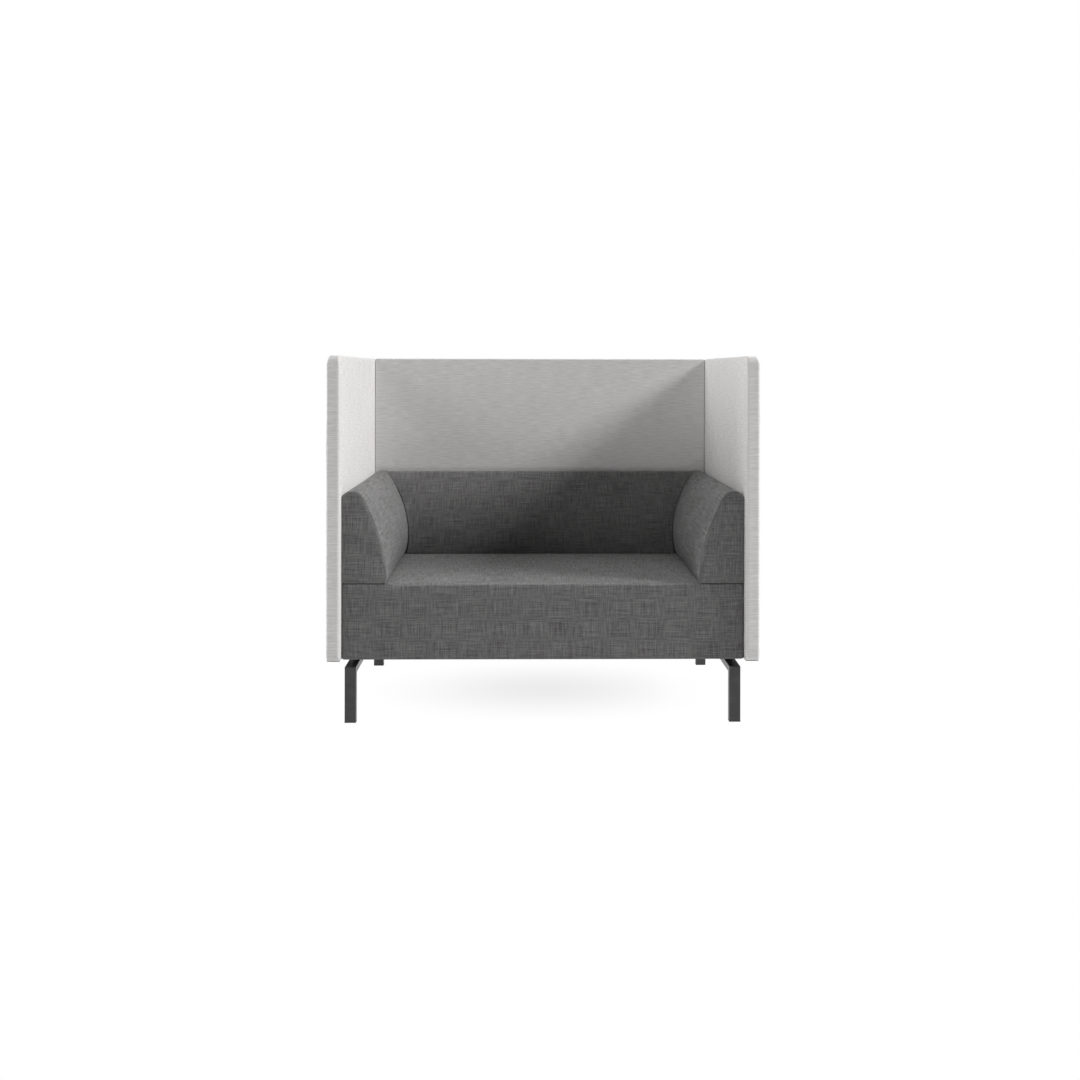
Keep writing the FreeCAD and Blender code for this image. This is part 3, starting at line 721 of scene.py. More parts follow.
def filled(ring: Array, across: int, up: int) -> Array:
    """Fill a ring with a patch.

    A point is the point between the lower and the upper side, plus the point between the left and the
    right side, less the point between the four corners.

    Args:
        ring: A closed ring whose sides have across, up, across and up cells.
        across: Cells along its lower side.
        up: Cells along its right side.

    Returns:
        A grid of points whose rim is the ring.
    """
    low, right, high, left = four_sides(ring, across, up)
    level = (passed(low) / passed(low)[-1] + passed(high) / passed(high)[-1]) / 2
    rise = (passed(left) / passed(left)[-1] + passed(right) / passed(right)[-1]) / 2
    s, t = level[None, :, None], rise[:, None, None]
    between = (1 - t) * low[None] + t * high[None] + (1 - s) * left[:, None] + s * right[:, None]
    plain = (1 - t) * ((1 - s) * low[0] + s * low[-1]) + t * ((1 - s) * high[0] + s * high[-1])
    return between - plain


def closed_form(
    rings: Array,
    across: int,
    up: int,
    cap_axes: tuple[int, int],
    weft_axis: int | None = None,
    seams: Sequence[int] = (),
) -> Form:
    """Join rings carried along a path into a closed surface, with a patch at each end.

    Args:
        rings: Points by station along the path and by place round the ring.
        across: Cells along a ring's first and third side.
        up: Cells along its second and fourth side.
        cap_axes: The two axes that give an end patch its cloth coordinates.
        weft_axis: The axis that the level yarns run along; without one they run round the ring.
        seams: Stations that a seam follows.

    Returns:
        The closed surface, with its faces outwards.
    """
    stations, count, _ = rings.shape
    numbers = np.arange(stations * count).reshape(stations, count)
    middle = rings[stations // 2]
    round_ring = passed(np.concatenate([middle, middle[:1]]))
    steps = np.linalg.norm(np.diff(rings, axis=0), axis=-1).mean(axis=1)
    along_path = np.concatenate([[0.0], np.cumsum(steps)])
    ring_part, path_part = np.meshgrid(round_ring, along_path)
    order = (ring_part, path_part)
    if weft_axis is not None:
        order = (np.concatenate([rings, rings[:, :1]], axis=1)[..., weft_axis], ring_part)

    off_seam = np.full(stations, FAR)
    for station in seams:
        gap = along_path - along_path[station]
        off_seam = np.where(np.abs(gap) < np.abs(off_seam), gap, off_seam)
    points = [rings.reshape(-1, 3)]
    quads = [corners(np.concatenate([numbers, numbers[:, :1]], axis=1))]
    cloth = [corners(np.stack(order, axis=-1))]
    seam = [np.repeat(off_seam, count)]
    used = stations * count
    for station, turn in ((0, -1), (stations - 1, 1)):
        patch = filled(rings[station], across, up)
        ids = np.zeros((up + 1, across + 1), int)
        ids[0], ids[:, -1], ids[-1], ids[:, 0] = four_sides(numbers[station], across, up)
        inner = patch[1:-1, 1:-1].reshape(-1, 3)
        ids[1:-1, 1:-1] = used + np.arange(len(inner)).reshape(up - 1, across - 1)
        used += len(inner)
        points.append(inner)
        quads.append(corners(ids)[:, ::turn])
        cloth.append(corners(patch[..., list(cap_axes)])[:, ::turn])
        seam.append(np.full(len(inner), turn * FAR))
    form = Form(np.concatenate(points), np.concatenate(quads), np.concatenate(cloth), np.concatenate(seam))
    first, second, third, _ = (form.points[form.quads[:, k]] for k in range(4))
    if np.einsum("ij,ij->i", first, np.cross(second, third)).sum() < 0:
        form.quads, form.cloth = form.quads[:, ::-1], form.cloth[:, ::-1]
    return form


def ripples(points: Array, wave: float, height: float, seed: int) -> Array:
    """Uneven cloth: the sum of a few plane waves of random heading and phase.

    Args:
        points: Where to work it out.
        wave: Typical wavelength.
        height: Typical height.
        seed: Starting number of the random draw.

    Returns:
        One height for each point.
    """
    draw = np.random.default_rng(seed)
    heading = draw.normal(size=(RIPPLES, 3))
    heading /= np.linalg.norm(heading, axis=1, keepdims=True)
    number = 2 * math.pi / (wave * draw.uniform(*RIPPLE_SPREAD, size=RIPPLES))
    phase = draw.uniform(0, 2 * math.pi, size=RIPPLES)
    waves = np.sin(points @ (heading * number[:, None]).T + phase)
    return height * waves.sum(axis=1) / math.sqrt(RIPPLES)


def new_object(name: str, form: Form) -> bpy.types.Object:
    """Put a form into a mesh object with its cloth coordinates and seam distances.

    Args:
        name: The object's name.
        form: Its surface.

    Returns:
        The object, linked to the scene.
    """
    mesh = bpy.data.meshes.new(name)
    mesh.from_pydata(form.points, [], form.quads)
    layer = mesh.uv_layers.new(name="cloth")
    layer.data.foreach_set("uv", form.cloth.astype(np.float32).ravel())
    seam = mesh.attributes.new("seam", "FLOAT", "POINT")
    seam.data.foreach_set("value", form.seam.astype(np.float32))
    mesh.polygons.foreach_set("use_smooth", np.ones(len(form.quads), bool))
    mesh.update()
    made = bpy.data.objects.new(name, mesh)
    bpy.context.scene.collection.objects.link(made)
    return made


def rows_of(items: Any, key: str) -> Array:
    """Three numbers of every item, one row each.

    Args:
        items: A mesh's corners or directions.
        key: What to read of each.

    Returns:
        The numbers.
    """
    flat = np.empty(len(items) * 3, np.float32)
    items.foreach_get(key, flat)
    return flat.reshape(-1, 3).astype(float)


def places_of(mesh: bpy.types.Mesh) -> Array:
    """The places of a mesh's corners."""
    return rows_of(mesh.vertices, "co")


def directions_of(mesh: bpy.types.Mesh) -> Array:
    """The outward directions at a mesh's corners."""
    return rows_of(mesh.vertex_normals, "vector")


def move_to(mesh: bpy.types.Mesh, points: Array) -> None:
    """Move a mesh's corners to new places."""
    mesh.vertices.foreach_set("co", points.astype(np.float32).ravel())
    mesh.update()


def ease_in(quads: Array, free: Array, steps: int) -> Array:
    """How free each point is: nought where it is held, rising to about one over some cells.

    Args:
        quads: Corner numbers of each quad.
        free: Which points aren't held.
        steps: Rounds in which a point takes the mean of the quads round it.

    Returns:
        One share for each point.
    """
    count = np.bincount(quads.ravel(), minlength=len(free))
    share = free.astype(float)
    for _ in range(steps):
        mean = np.repeat(share[quads].mean(axis=1), 4)
        share = free * np.bincount(quads.ravel(), weights=mean, minlength=len(free)) / count
    return share


def solid_box(*names: str) -> tuple[Array, Array]:
    """The lowest and highest corner of some solids together."""
    boxes = [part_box(name) for name in names]
    return np.min([low for low, _ in boxes], axis=0), np.max([high for _, high in boxes], axis=0)


@dataclass
class PaddedPiece:
    """A padded piece: a closed form that swells as cloth, and is then sewn and dressed.

    Attributes:
        name: The piece's name.
        stands_for: The solids that it replaces; the first is its cover.
        finish: Its cloth.
        slot: A name for its cloth; not used.
        cell: Size of one cell of the form that swells.
        slack: How far inside its finished skin the cloth starts.
        swell: How far the padding may push it out.
        fill: How tightly it is stuffed; not used.
        seam_depth: Depth of its seams.
        seam_width: Half the width of a seam's dip.
        unevenness: Height of the cloth's gentle waves.
        wave: Typical length of those waves.
        seed: Starting number of those waves.
        ease_cells: Cells over which held cloth becomes free.
    """

    name: str
    stands_for: tuple[str, ...]
    finish: WovenCloth
    slot: str
    cell: float = 9 * MM
    slack: float = 2 * MM
    swell: float = 3 * MM
    fill: float = 0.9
    seam_depth: float = 1.6 * MM
    seam_width: float = 2.2 * MM
    unevenness: float = 0.5 * MM
    wave: float = 0.14
    seed: int = 1
    ease_cells: int = 4

    def __post_init__(self) -> None:
        """Read the cover's box from the frame."""
        self.low, self.high = solid_box(self.stands_for[0])
        self.piece: bpy.types.Object | None = None
        self.skin: Array | None = None

    def form(self) -> Form:
        """The piece's finished skin, before it swells."""
        raise NotImplementedError

    def held(self, points: Array) -> Array:
        """Which points rest on a neighbour and stay where they are."""
        raise NotImplementedError

    def room(self) -> tuple[Array, Array]:
        """The lowest and the highest place that its neighbours leave it, endless where none is near."""
        raise NotImplementedError

    def kept_clear(self, points: Array) -> Array:
        """Points moved back where they reach into a neighbour's room."""
        return np.clip(points, *self.room())

    def build(self) -> None:
        """Make the piece's mesh at its finished skin."""
        form = self.form()
        self.piece = new_object(self.name, form)
        self.skin = places_of(self.piece.data)
        self.quads = form.quads

    def start_swelling(self) -> None:
        """Draw the free cloth in by its slack, hold the rest, and let air press from inside."""
        mesh = self.piece.data
        held = self.held(self.skin)
        share = ease_in(self.quads, ~held, self.ease_cells)
        start = self.skin - self.slack * share[:, None] * directions_of(mesh)
        move_to(mesh, start)
        group = self.piece.vertex_groups.new(name="held")
        group.add(np.flatnonzero(held).tolist(), 1.0, "REPLACE")
        cloth = self.piece.modifiers.new("swelling", "CLOTH")
        cloth.point_cache.frame_start, cloth.point_cache.frame_end = 1, SWELL_FRAMES
        cloth.collision_settings.use_collision = False
        cloth.settings.effector_weights.gravity = 0.0
        for name, setting in SWELLING.items():
            setattr(cloth.settings, name, setting)

    def stop_swelling(self, graph: bpy.types.Depsgraph) -> None:
        """Keep the swollen shape, with each point's travel eased off towards the swell's limit.

        Args:
            graph: The scene as the simulation left it.
        """
        mesh = self.piece.data
        start = places_of(mesh)
        travel = places_of(self.piece.evaluated_get(graph).data) - start
        length = np.linalg.norm(travel, axis=1, keepdims=True)
        eased = self.swell * np.tanh(length / self.swell) / np.maximum(length, TINY)
        self.piece.modifiers.clear()
        self.piece.vertex_groups.clear()
        move_to(mesh, self.kept_clear(start + travel * eased))

    def sew(self) -> None:
        """Divide the mesh once, then press in the seams and the cloth's gentle waves.

        A seam's dip is its depth times a bell curve of the distance from it.
        """
        finer = self.piece.modifiers.new("finer", "SUBSURF")
        finer.levels = finer.render_levels = 1
        graph = bpy.context.evaluated_depsgraph_get()
        mesh = bpy.data.meshes.new_from_object(self.piece.evaluated_get(graph), depsgraph=graph)
        self.piece.modifiers.clear()
        self.piece.data = mesh
        points = places_of(mesh)
        away = np.empty(len(points), np.float32)
        mesh.attributes["seam"].data.foreach_get("value", away)
        dip = self.seam_depth * np.exp(-((away / self.seam_width) ** 2))
        wave = ripples(points, self.wave, self.unevenness, self.seed) * ~self.held(points)
        moved = points + (wave - dip)[:, None] * directions_of(mesh)
        move_to(mesh, self.kept_clear(moved))
        mesh.attributes.remove(mesh.attributes["seam"])

    def dress(self) -> None:
        """Give the piece its cloth and its place on the sofa."""
        self.piece.data.materials.clear()
        self.piece.data.materials.append(material_of(self.finish))
        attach(self.piece, BODY)
        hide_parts(*self.stands_for)
        log.info("%s: %d quads of cloth", self.name, len(self.piece.data.polygons))


@dataclass(frozen=True)
class Outline:
    """A rounded rectangle as a ring of points.

    Attributes:
        points: The ring, from the middle of the lower left corner and along the lower side first.
        share: How much each point belongs to the lower, right, upper and left side.
        across: Cells along the lower and the upper side.
        up: Cells along the right and the left side.
    """

    points: Array
    share: Array
    across: int
    up: int


def rounded_outline(level: Array, upright: Array, radius: float, arc_cells: int) -> Outline:
    """Work out a rounded rectangle.

    A corner is an arc about a centre one radius inside both sides; a side is straight between arcs.

    Args:
        level: Places along the lower side, between the corner arcs.
        upright: Places along the right side, between the corner arcs.
        radius: The corners' radius.
        arc_cells: Cells in half a corner.

    Returns:
        The outline.
    """
    left, right, low, high = level[0], level[-1], upright[0], upright[-1]
    centres = np.array([(left, low), (right, low), (right, high), (left, high)])
    turn = np.linspace(0, math.pi / 4, arc_cells, endpoint=False)
    straights = [
        np.stack([level, np.full(len(level), low - radius)], -1),
        np.stack([np.full(len(upright), right + radius), upright], -1),
        np.stack([level[::-1], np.full(len(level), high + radius)], -1),
        np.stack([np.full(len(upright), left - radius), upright[::-1]], -1),
    ]
    points, shares = [], []
    own = np.eye(4)
    ease = (0.5 * turn / (math.pi / 4))[:, None]
    for side, straight in enumerate(straights):
        begin = math.radians(225 + 90 * side) + turn
        end = begin + math.pi / 4
        before, after = (side - 1) % 4, (side + 1) % 4
        points.append(centres[side] + radius * np.stack([np.cos(begin), np.sin(begin)], -1))
        shares.append((0.5 + ease) * own[side] + (0.5 - ease) * own[before])
        points.append(straight[:-1])
        shares.append(np.tile(own[side], (len(straight) - 1, 1)))
        points.append(centres[after] + radius * np.stack([np.cos(end), np.sin(end)], -1))
        shares.append((1 - ease) * own[side] + ease * own[after])
    cells = [2 * arc_cells + len(line) - 1 for line in (level, upright)]
    return Outline(np.concatenate(points), np.concatenate(shares), *cells)


def quarter_turn(degrees: Sequence[float], support: float = 1.6) -> tuple[Array, Array]:
    """Steps of a rounded edge, as shares of its radius.

    Args:
        degrees: The steps, from nought at the face to ninety at the side.
        support: Where a last step on the side keeps the rounding tight.

    Returns:
        How far each step is drawn in from the side, which is one less the sine, and how far it lies
        below the face, which is one less the cosine.
    """
    turn = np.radians(degrees)
    return np.append(1 - np.sin(turn), 0.0), np.append(1 - np.cos(turn), support)


def drawn_in(ring: Array, inset: Array) -> Array:
    """Move each point of closed rings inwards so that both edges beside it move by its inset.

    Args:
        ring: Points by station and place, in a plane, running clockwise or not alike at all stations.
        inset: How far to move each point.

    Returns:
        The smaller rings.
    """
    edge = np.roll(ring, -1, axis=1) - ring
    edge /= np.linalg.norm(edge, axis=-1, keepdims=True)
    outward = np.stack([edge[..., 1], -edge[..., 0]], -1)
    area = (ring * np.roll(ring, -1, axis=1)[..., ::-1] * (1, -1)).sum(axis=(1, 2), keepdims=True)
    outward *= np.sign(area)
    both = outward + np.roll(outward, 1, axis=1)
    reach = 1 + (outward * np.roll(outward, 1, axis=1)).sum(axis=-1, keepdims=True)
    return ring - inset[..., None] * both / np.maximum(reach, SHARPEST_CORNER)


@dataclass
class Panel(PaddedPiece):
    """A tall privacy panel: a board in thin padding, its two faces sewn to a band round the edge.

    Attributes:
        side: The side that it stands on, or none for the rear.
        corner_radius: Radius of its upper corners.
        inner_edges: Radius of the inner face's lower, right, upper and left edge.
        outer_edges: The same of the outer face.
        contact_top: Height below which its inner face touches the seat.
    """

    side: Side | None = None
    corner_radius: float = 22 * MM
    inner_edges: Edges = (1.5 * MM, 6 * MM, 6 * MM, 6 * MM)
    outer_edges: Edges = (1.5 * MM, 6 * MM, 13 * MM, 6 * MM)
    contact_top: float = 0.715

    TURNS: ClassVar[tuple[float, ...]] = (0.0, 20.0, 40.0, 62.0, 76.0, 90.0)
    TURN_SUPPORT: ClassVar[float] = 1.25
    SEAM_TURN: ClassVar[int] = 3
    ARC_CELLS: ClassVar[int] = 3
    TOUCH: ClassVar[float] = 3 * MM
    BAND: ClassVar[float] = 3 * MM
    HEM: ClassVar[float] = 6 * MM
    REAR_OVERLAP: ClassVar[float] = 45 * MM

    @property
    def across_axis(self) -> int:
        """The axis that the panel's width runs along."""
        return 0 if self.side is None else 1

    @property
    def through_axis(self) -> int:
        """The axis that its thickness runs along."""
        return 1 - self.across_axis

    @property
    def inner_face(self) -> float:
        """Where its inner face is on the axis through it."""
        return self.high[0] if self.side is Side.LEFT else self.low[self.through_axis]

    def form(self) -> Form:
        """A rounded outline carried through the thickness, with a quarter turn at each face.

        Returns:
            The piece's finished skin, before it swells.
        """
        axis, through = self.across_axis, self.through_axis
        radius = self.corner_radius
        level = stops((self.low[axis] + radius, self.high[axis] - radius), self.cell)
        upright = stops((self.low[2] + radius, self.high[2] - radius), self.cell)
        outline = rounded_outline(level, upright, radius, self.ARC_CELLS)
        shrink, sink = quarter_turn(self.TURNS, self.TURN_SUPPORT)
        low = np.array([self.low[axis], self.low[2]])
        size = np.array([self.high[axis], self.high[2]]) - low
        share = (outline.points - low) / size
        faces = (self.outer_edges, self.inner_edges)[:: 1 if self.side is Side.LEFT else -1]
        halves = []
        for edges, face, inward in zip(faces, (self.low[through], self.high[through]), (1, -1)):
            near, far = np.array([edges[3], edges[0]]), np.array([edges[1], edges[2]])
            trim = shrink[:, None, None]
            half = np.zeros((len(shrink), len(outline.points), 3))
            half[:, :, [axis, 2]] = low + trim * near + share * (size - trim * (near + far))
            half[:, :, through] = face + inward * sink[:, None] * (outline.share @ np.array(edges))
            halves.append(half[::inward])
        seams = (self.SEAM_TURN, 2 * len(shrink) - 1 - self.SEAM_TURN)
        return closed_form(np.concatenate(halves), outline.across, outline.up, (axis, 2), through, seams)

    def held(self, points: Array) -> Array:
        """The band on the board's edge, and what the seat and another panel touch of the inner face.

        Args:
            points: Places on the piece.

        Returns:
            Which of them stay where they are.
        """
        level, height = points[:, self.across_axis], points[:, 2]
        low, high = self.low[self.across_axis], self.high[self.across_axis]
        near = np.abs(points[:, self.through_axis] - self.inner_face) < self.TOUCH
        touched = near & (height < self.contact_top)
        if self.side is not None:
            touched |= near & (points[:, 1] > self.high[1] - self.REAR_OVERLAP)
        upright_band = (level < low + self.BAND) | (level > high - self.BAND)
        level_band = (height < self.low[2] + self.HEM) | (height > self.high[2] - self.BAND)
        return touched | upright_band | level_band

    def room(self) -> tuple[Array, Array]:
        """Outside the seat, and for the rear panel between the side panels.

        Returns:
            The lowest and the highest place that it may reach.
        """
        low, high = np.full(3, -np.inf), np.full(3, np.inf)
        if self.side is Side.LEFT:
            high[0] = self.inner_face
        else:
            low[self.through_axis] = self.inner_face
        if self.side is None:
            low[0], high[0] = self.low[0], self.high[0]
        return low, high


@dataclass(frozen=True)
class Crest:
    """The profile of an arm or of the back, by distance from its upright side and by height.

    Attributes:
        width: Width at the foot.
        low: Height of the foot.
        top: Height of the crest.
        crest_inset: The crest's distance from the upright side.
        edge_drop: How far the upright side ends below the crest.
    """

    width: float
    low: float
    top: float
    crest_inset: float
    edge_drop: float

    NEAR_TOE: ClassVar[tuple[float, ...]] = (0.0, 0.006, 0.018, 0.04, 0.07)

    def ring(self, face_radius: float, across: int, up: int, toe_return: Pair) -> Array:
        """Work out the profile.

        The crown is an arc through the crest and the top of the upright side. The face is an arc of
        the given radius that starts at the toe and runs smoothly into the crown. Near the toe a
        quarter of an ellipse takes it back.

        Args:
            face_radius: Radius of the face.
            across: Cells along the foot, and over the crown.
            up: Cells up the face, and down the upright side.
            toe_return: How far the toe is taken back, and over what height.

        Returns:
            The ring: foot, face, crown and upright side.
        """
        crown = (self.crest_inset**2 + self.edge_drop**2) / (2 * self.edge_drop)
        centre = np.array([self.crest_inset, self.top - crown])
        foot, toe = np.array([0.0, self.low]), np.array([self.width, self.low])
        shoulder = np.array([0.0, self.top - self.edge_drop])
        reach = toe - centre
        distance = np.linalg.norm(reach)
        gap = face_radius - crown
        along = (gap**2 - face_radius**2 + distance**2) / (2 * distance)
        aside = np.array([reach[1], -reach[0]]) / distance * math.sqrt(gap**2 - along**2)
        hub = centre + reach / distance * along + aside
        meet = centre + (centre - hub) / gap * crown

        def arc(middle: Array, begin: Array, end: Array, steps: Array) -> Array:
            """The given shares of the way from begin to end about a middle.

            Args:
                middle: Centre of the arc.
                begin: Where it starts.
                end: Where it ends.
                steps: Shares of the way.

            Returns:
                One point for each share.
            """
            first, last = (math.atan2(*(point - middle)[::-1]) for point in (begin, end))
            turn = first + (last - first) * steps
            return middle + np.linalg.norm(begin - middle) * np.stack([np.cos(turn), np.sin(turn)], -1)

        near = np.array(self.NEAR_TOE)
        rise = np.concatenate([near[:-1], np.linspace(near[-1], 1.0, up - len(near) + 1, endpoint=False)])
        face = arc(hub, toe, meet, rise)
        depth, height = toe_return
        left = 1 - np.clip((face[:, 1] - self.low) / height, 0, 1)
        face[:, 0] -= depth * (1 - np.sqrt(1 - left**2))
        return np.concatenate([
            np.linspace(foot, face[0], across, endpoint=False),
            face,
            arc(centre, meet, shoulder, np.linspace(0.0, 1.0, across, endpoint=False)),
            np.linspace(shoulder, foot, up, endpoint=False),
        ])


def quadratic(places: Array, nodes: Triple) -> Array:
    """Weights of three stations whose curve through them is of second order.

    Args:
        places: Where to work the weights out.
        nodes: Where the three stations are.

    Returns:
        One weight for each station, in the last axis.
    """
    a, b, c = nodes
    weights = [
        (places - b) * (places - c) / ((a - b) * (a - c)),
        (places - a) * (places - c) / ((b - a) * (b - c)),
        (places - a) * (places - b) / ((c - a) * (c - b)),
    ]
    return np.stack(weights, -1)


@dataclass
class Arm(PaddedPiece):
    """A fixed arm: a crest profile carried from front to rear, with a sewn-in front facing.

    Attributes:
        side: The side that it stands on.
        width: Width at its foot.
        crest_inset: The crest's distance from the panel.
        edge_drop: How far the panel side ends below the crest.
        face_radii: Radius of its face at the front, at its fullest and at the rear.
        toe_returns: How far its toe is taken back there, and over what height.
        fullest: How far behind the front the face is fullest.
        front_edge: Radius of the facing's edge along the face and crown.
        foot_edge: Radius of its edge along the foot and the panel side.
        foot_gap: Height and depth of the narrow gap under the edge of its foot.
        gap_rise: Height over which the face makes room for that gap.
        foot_cells: Cells along the foot.
        face_cells: Cells up the face.
    """

    side: Side = Side.LEFT
    width: float = ARM_WIDTH
    crest_inset: float = 32 * MM
    edge_drop: float = 17 * MM
    face_radii: Triple = (0.620, 0.350, 0.370)
    toe_returns: tuple[Pair, ...] = ((3 * MM, 9 * MM), (8 * MM, 45 * MM), (8.5 * MM, 60 * MM))
    fullest: float = 0.300
    front_edge: float = 7 * MM
    foot_edge: float = 1 * MM
    foot_gap: Pair = (3 * MM, 12 * MM)
    gap_rise: float = 20 * MM
    foot_cells: int = 15
    face_cells: int = 31

    TURNS: ClassVar[tuple[float, ...]] = (0.0, 24.0, 48.0, 70.0, 90.0)
    SEAM_TURN: ClassVar[int] = 2
    BACK_REACH: ClassVar[float] = 70 * MM
    FOOT_HOLD: ClassVar[float] = 4 * MM
    SIDE_HOLD: ClassVar[float] = 2 * MM
    SEAM_HOLD: ClassVar[Pair] = (0.2, 2.0)

    def __post_init__(self) -> None:
        """Work out the profile and the stations from the cover's box."""
        super().__post_init__()
        self.crest = Crest(self.width, self.low[2], self.high[2], self.crest_inset, self.edge_drop)
        self.nodes = (self.low[1], self.low[1] + self.fullest, self.high[1])
        self.outer = abs(self.low[0] if self.side is Side.LEFT else self.high[0])

    def rings(self) -> Array:
        """The profile at its three stations.

        Returns:
            Three rings of points, as distance from the panel and height.
        """
        cells = self.foot_cells, self.face_cells
        stations = zip(self.face_radii, self.toe_returns)
        return np.stack([self.crest.ring(radius, *cells, toe) for radius, toe in stations])

    def face_at(self, y: Array, z: Array) -> Array:
        """Distance of the arm's face from the middle of the sofa, by depth and height.

        Args:
            y: Depths.
            z: Heights.

        Returns:
            One distance for each pair.
        """
        rising = slice(self.foot_cells, self.foot_cells + self.face_cells + self.foot_cells)
        insets = []
        for ring in self.rings():
            line = ring[rising]
            line = line[: int(np.argmax(line[:, 1])) + 1]
            insets.append(np.interp(z, line[:, 1], line[:, 0]))
        weights = quadratic(y, self.nodes)
        return self.outer - (weights * np.stack(insets, -1)).sum(axis=-1)

    def form(self) -> Form:
        """The profile, a curve of second order through its three stations, carried along Y.

        At the front and rear a quarter turn draws the profile in.

        Returns:
            The piece's finished skin, before it swells.
        """
        stations = self.rings()
        foot, face = self.foot_cells, self.face_cells
        edge = np.full(2 * (foot + face), self.front_edge)
        edge[: foot + 1] = edge[-face:] = self.foot_edge
        shrink, back = (steps[:, None] * edge for steps in quarter_turn(self.TURNS))
        run = stops((self.low[1] + 2 * self.front_edge, self.high[1] - 2 * self.front_edge), self.cell)
        middle = np.tile(run[:, None], (1, len(edge)))
        y = np.concatenate([self.low[1] + back, middle, (self.high[1] - back)[::-1]])
        inset = np.concatenate([shrink, np.zeros_like(middle), shrink[::-1]])
        profile = np.einsum("mnk,knc->mnc", quadratic(y, self.nodes), stations)
        profile = drawn_in(profile, inset)
        x = self.side.value * (self.outer - profile[..., 0])
        rings = np.stack([x, y, self.lifted(profile, y)], -1)
        return closed_form(rings, foot, face, (0, 2), 1, (self.SEAM_TURN,))

    def lifted(self, profile: Array, y: Array) -> Array:
        """Heights of the profile with a gap under the edge of the foot, at the front and along the toe.

        Args:
            profile: The profile by station, as distance from the panel and height.
            y: The place of each of its points along Y.

        Returns:
            The height of each point.
        """
        height, depth = self.foot_gap
        toe = profile[:, self.foot_cells : self.foot_cells + 1, 0]
        inside = np.minimum(y - self.low[1], toe - profile[..., 0])
        above = profile[..., 1] - self.low[2]
        share = np.clip(1 - inside / depth, 0, 1) * np.clip(1 - above / self.gap_rise, 0, 1)
        return profile[..., 1] + height * share

    def held(self, points: Array) -> Array:
        """The foot, the panel side, the facing's seam and the part that the back stands against.

        Args:
            points: Places on the piece.

        Returns:
            Which of them stay where they are.
        """
        on_foot = points[:, 2] < self.low[2] + self.FOOT_HOLD
        at_panel = np.abs(points[:, 0]) > self.outer - self.SIDE_HOLD
        begin, end = (share * self.front_edge for share in self.SEAM_HOLD)
        behind = points[:, 1] - self.low[1]
        at_seam = (behind > begin) & (behind < end)
        return on_foot | at_panel | at_seam | (points[:, 1] > self.high[1] - self.BACK_REACH)

    def room(self) -> tuple[Array, Array]:
        """Between the panels and above the seat box."""
        low, high = (-self.outer, -np.inf, self.low[2]), (self.outer, self.high[1], np.inf)
        return np.array(low), np.array(high)


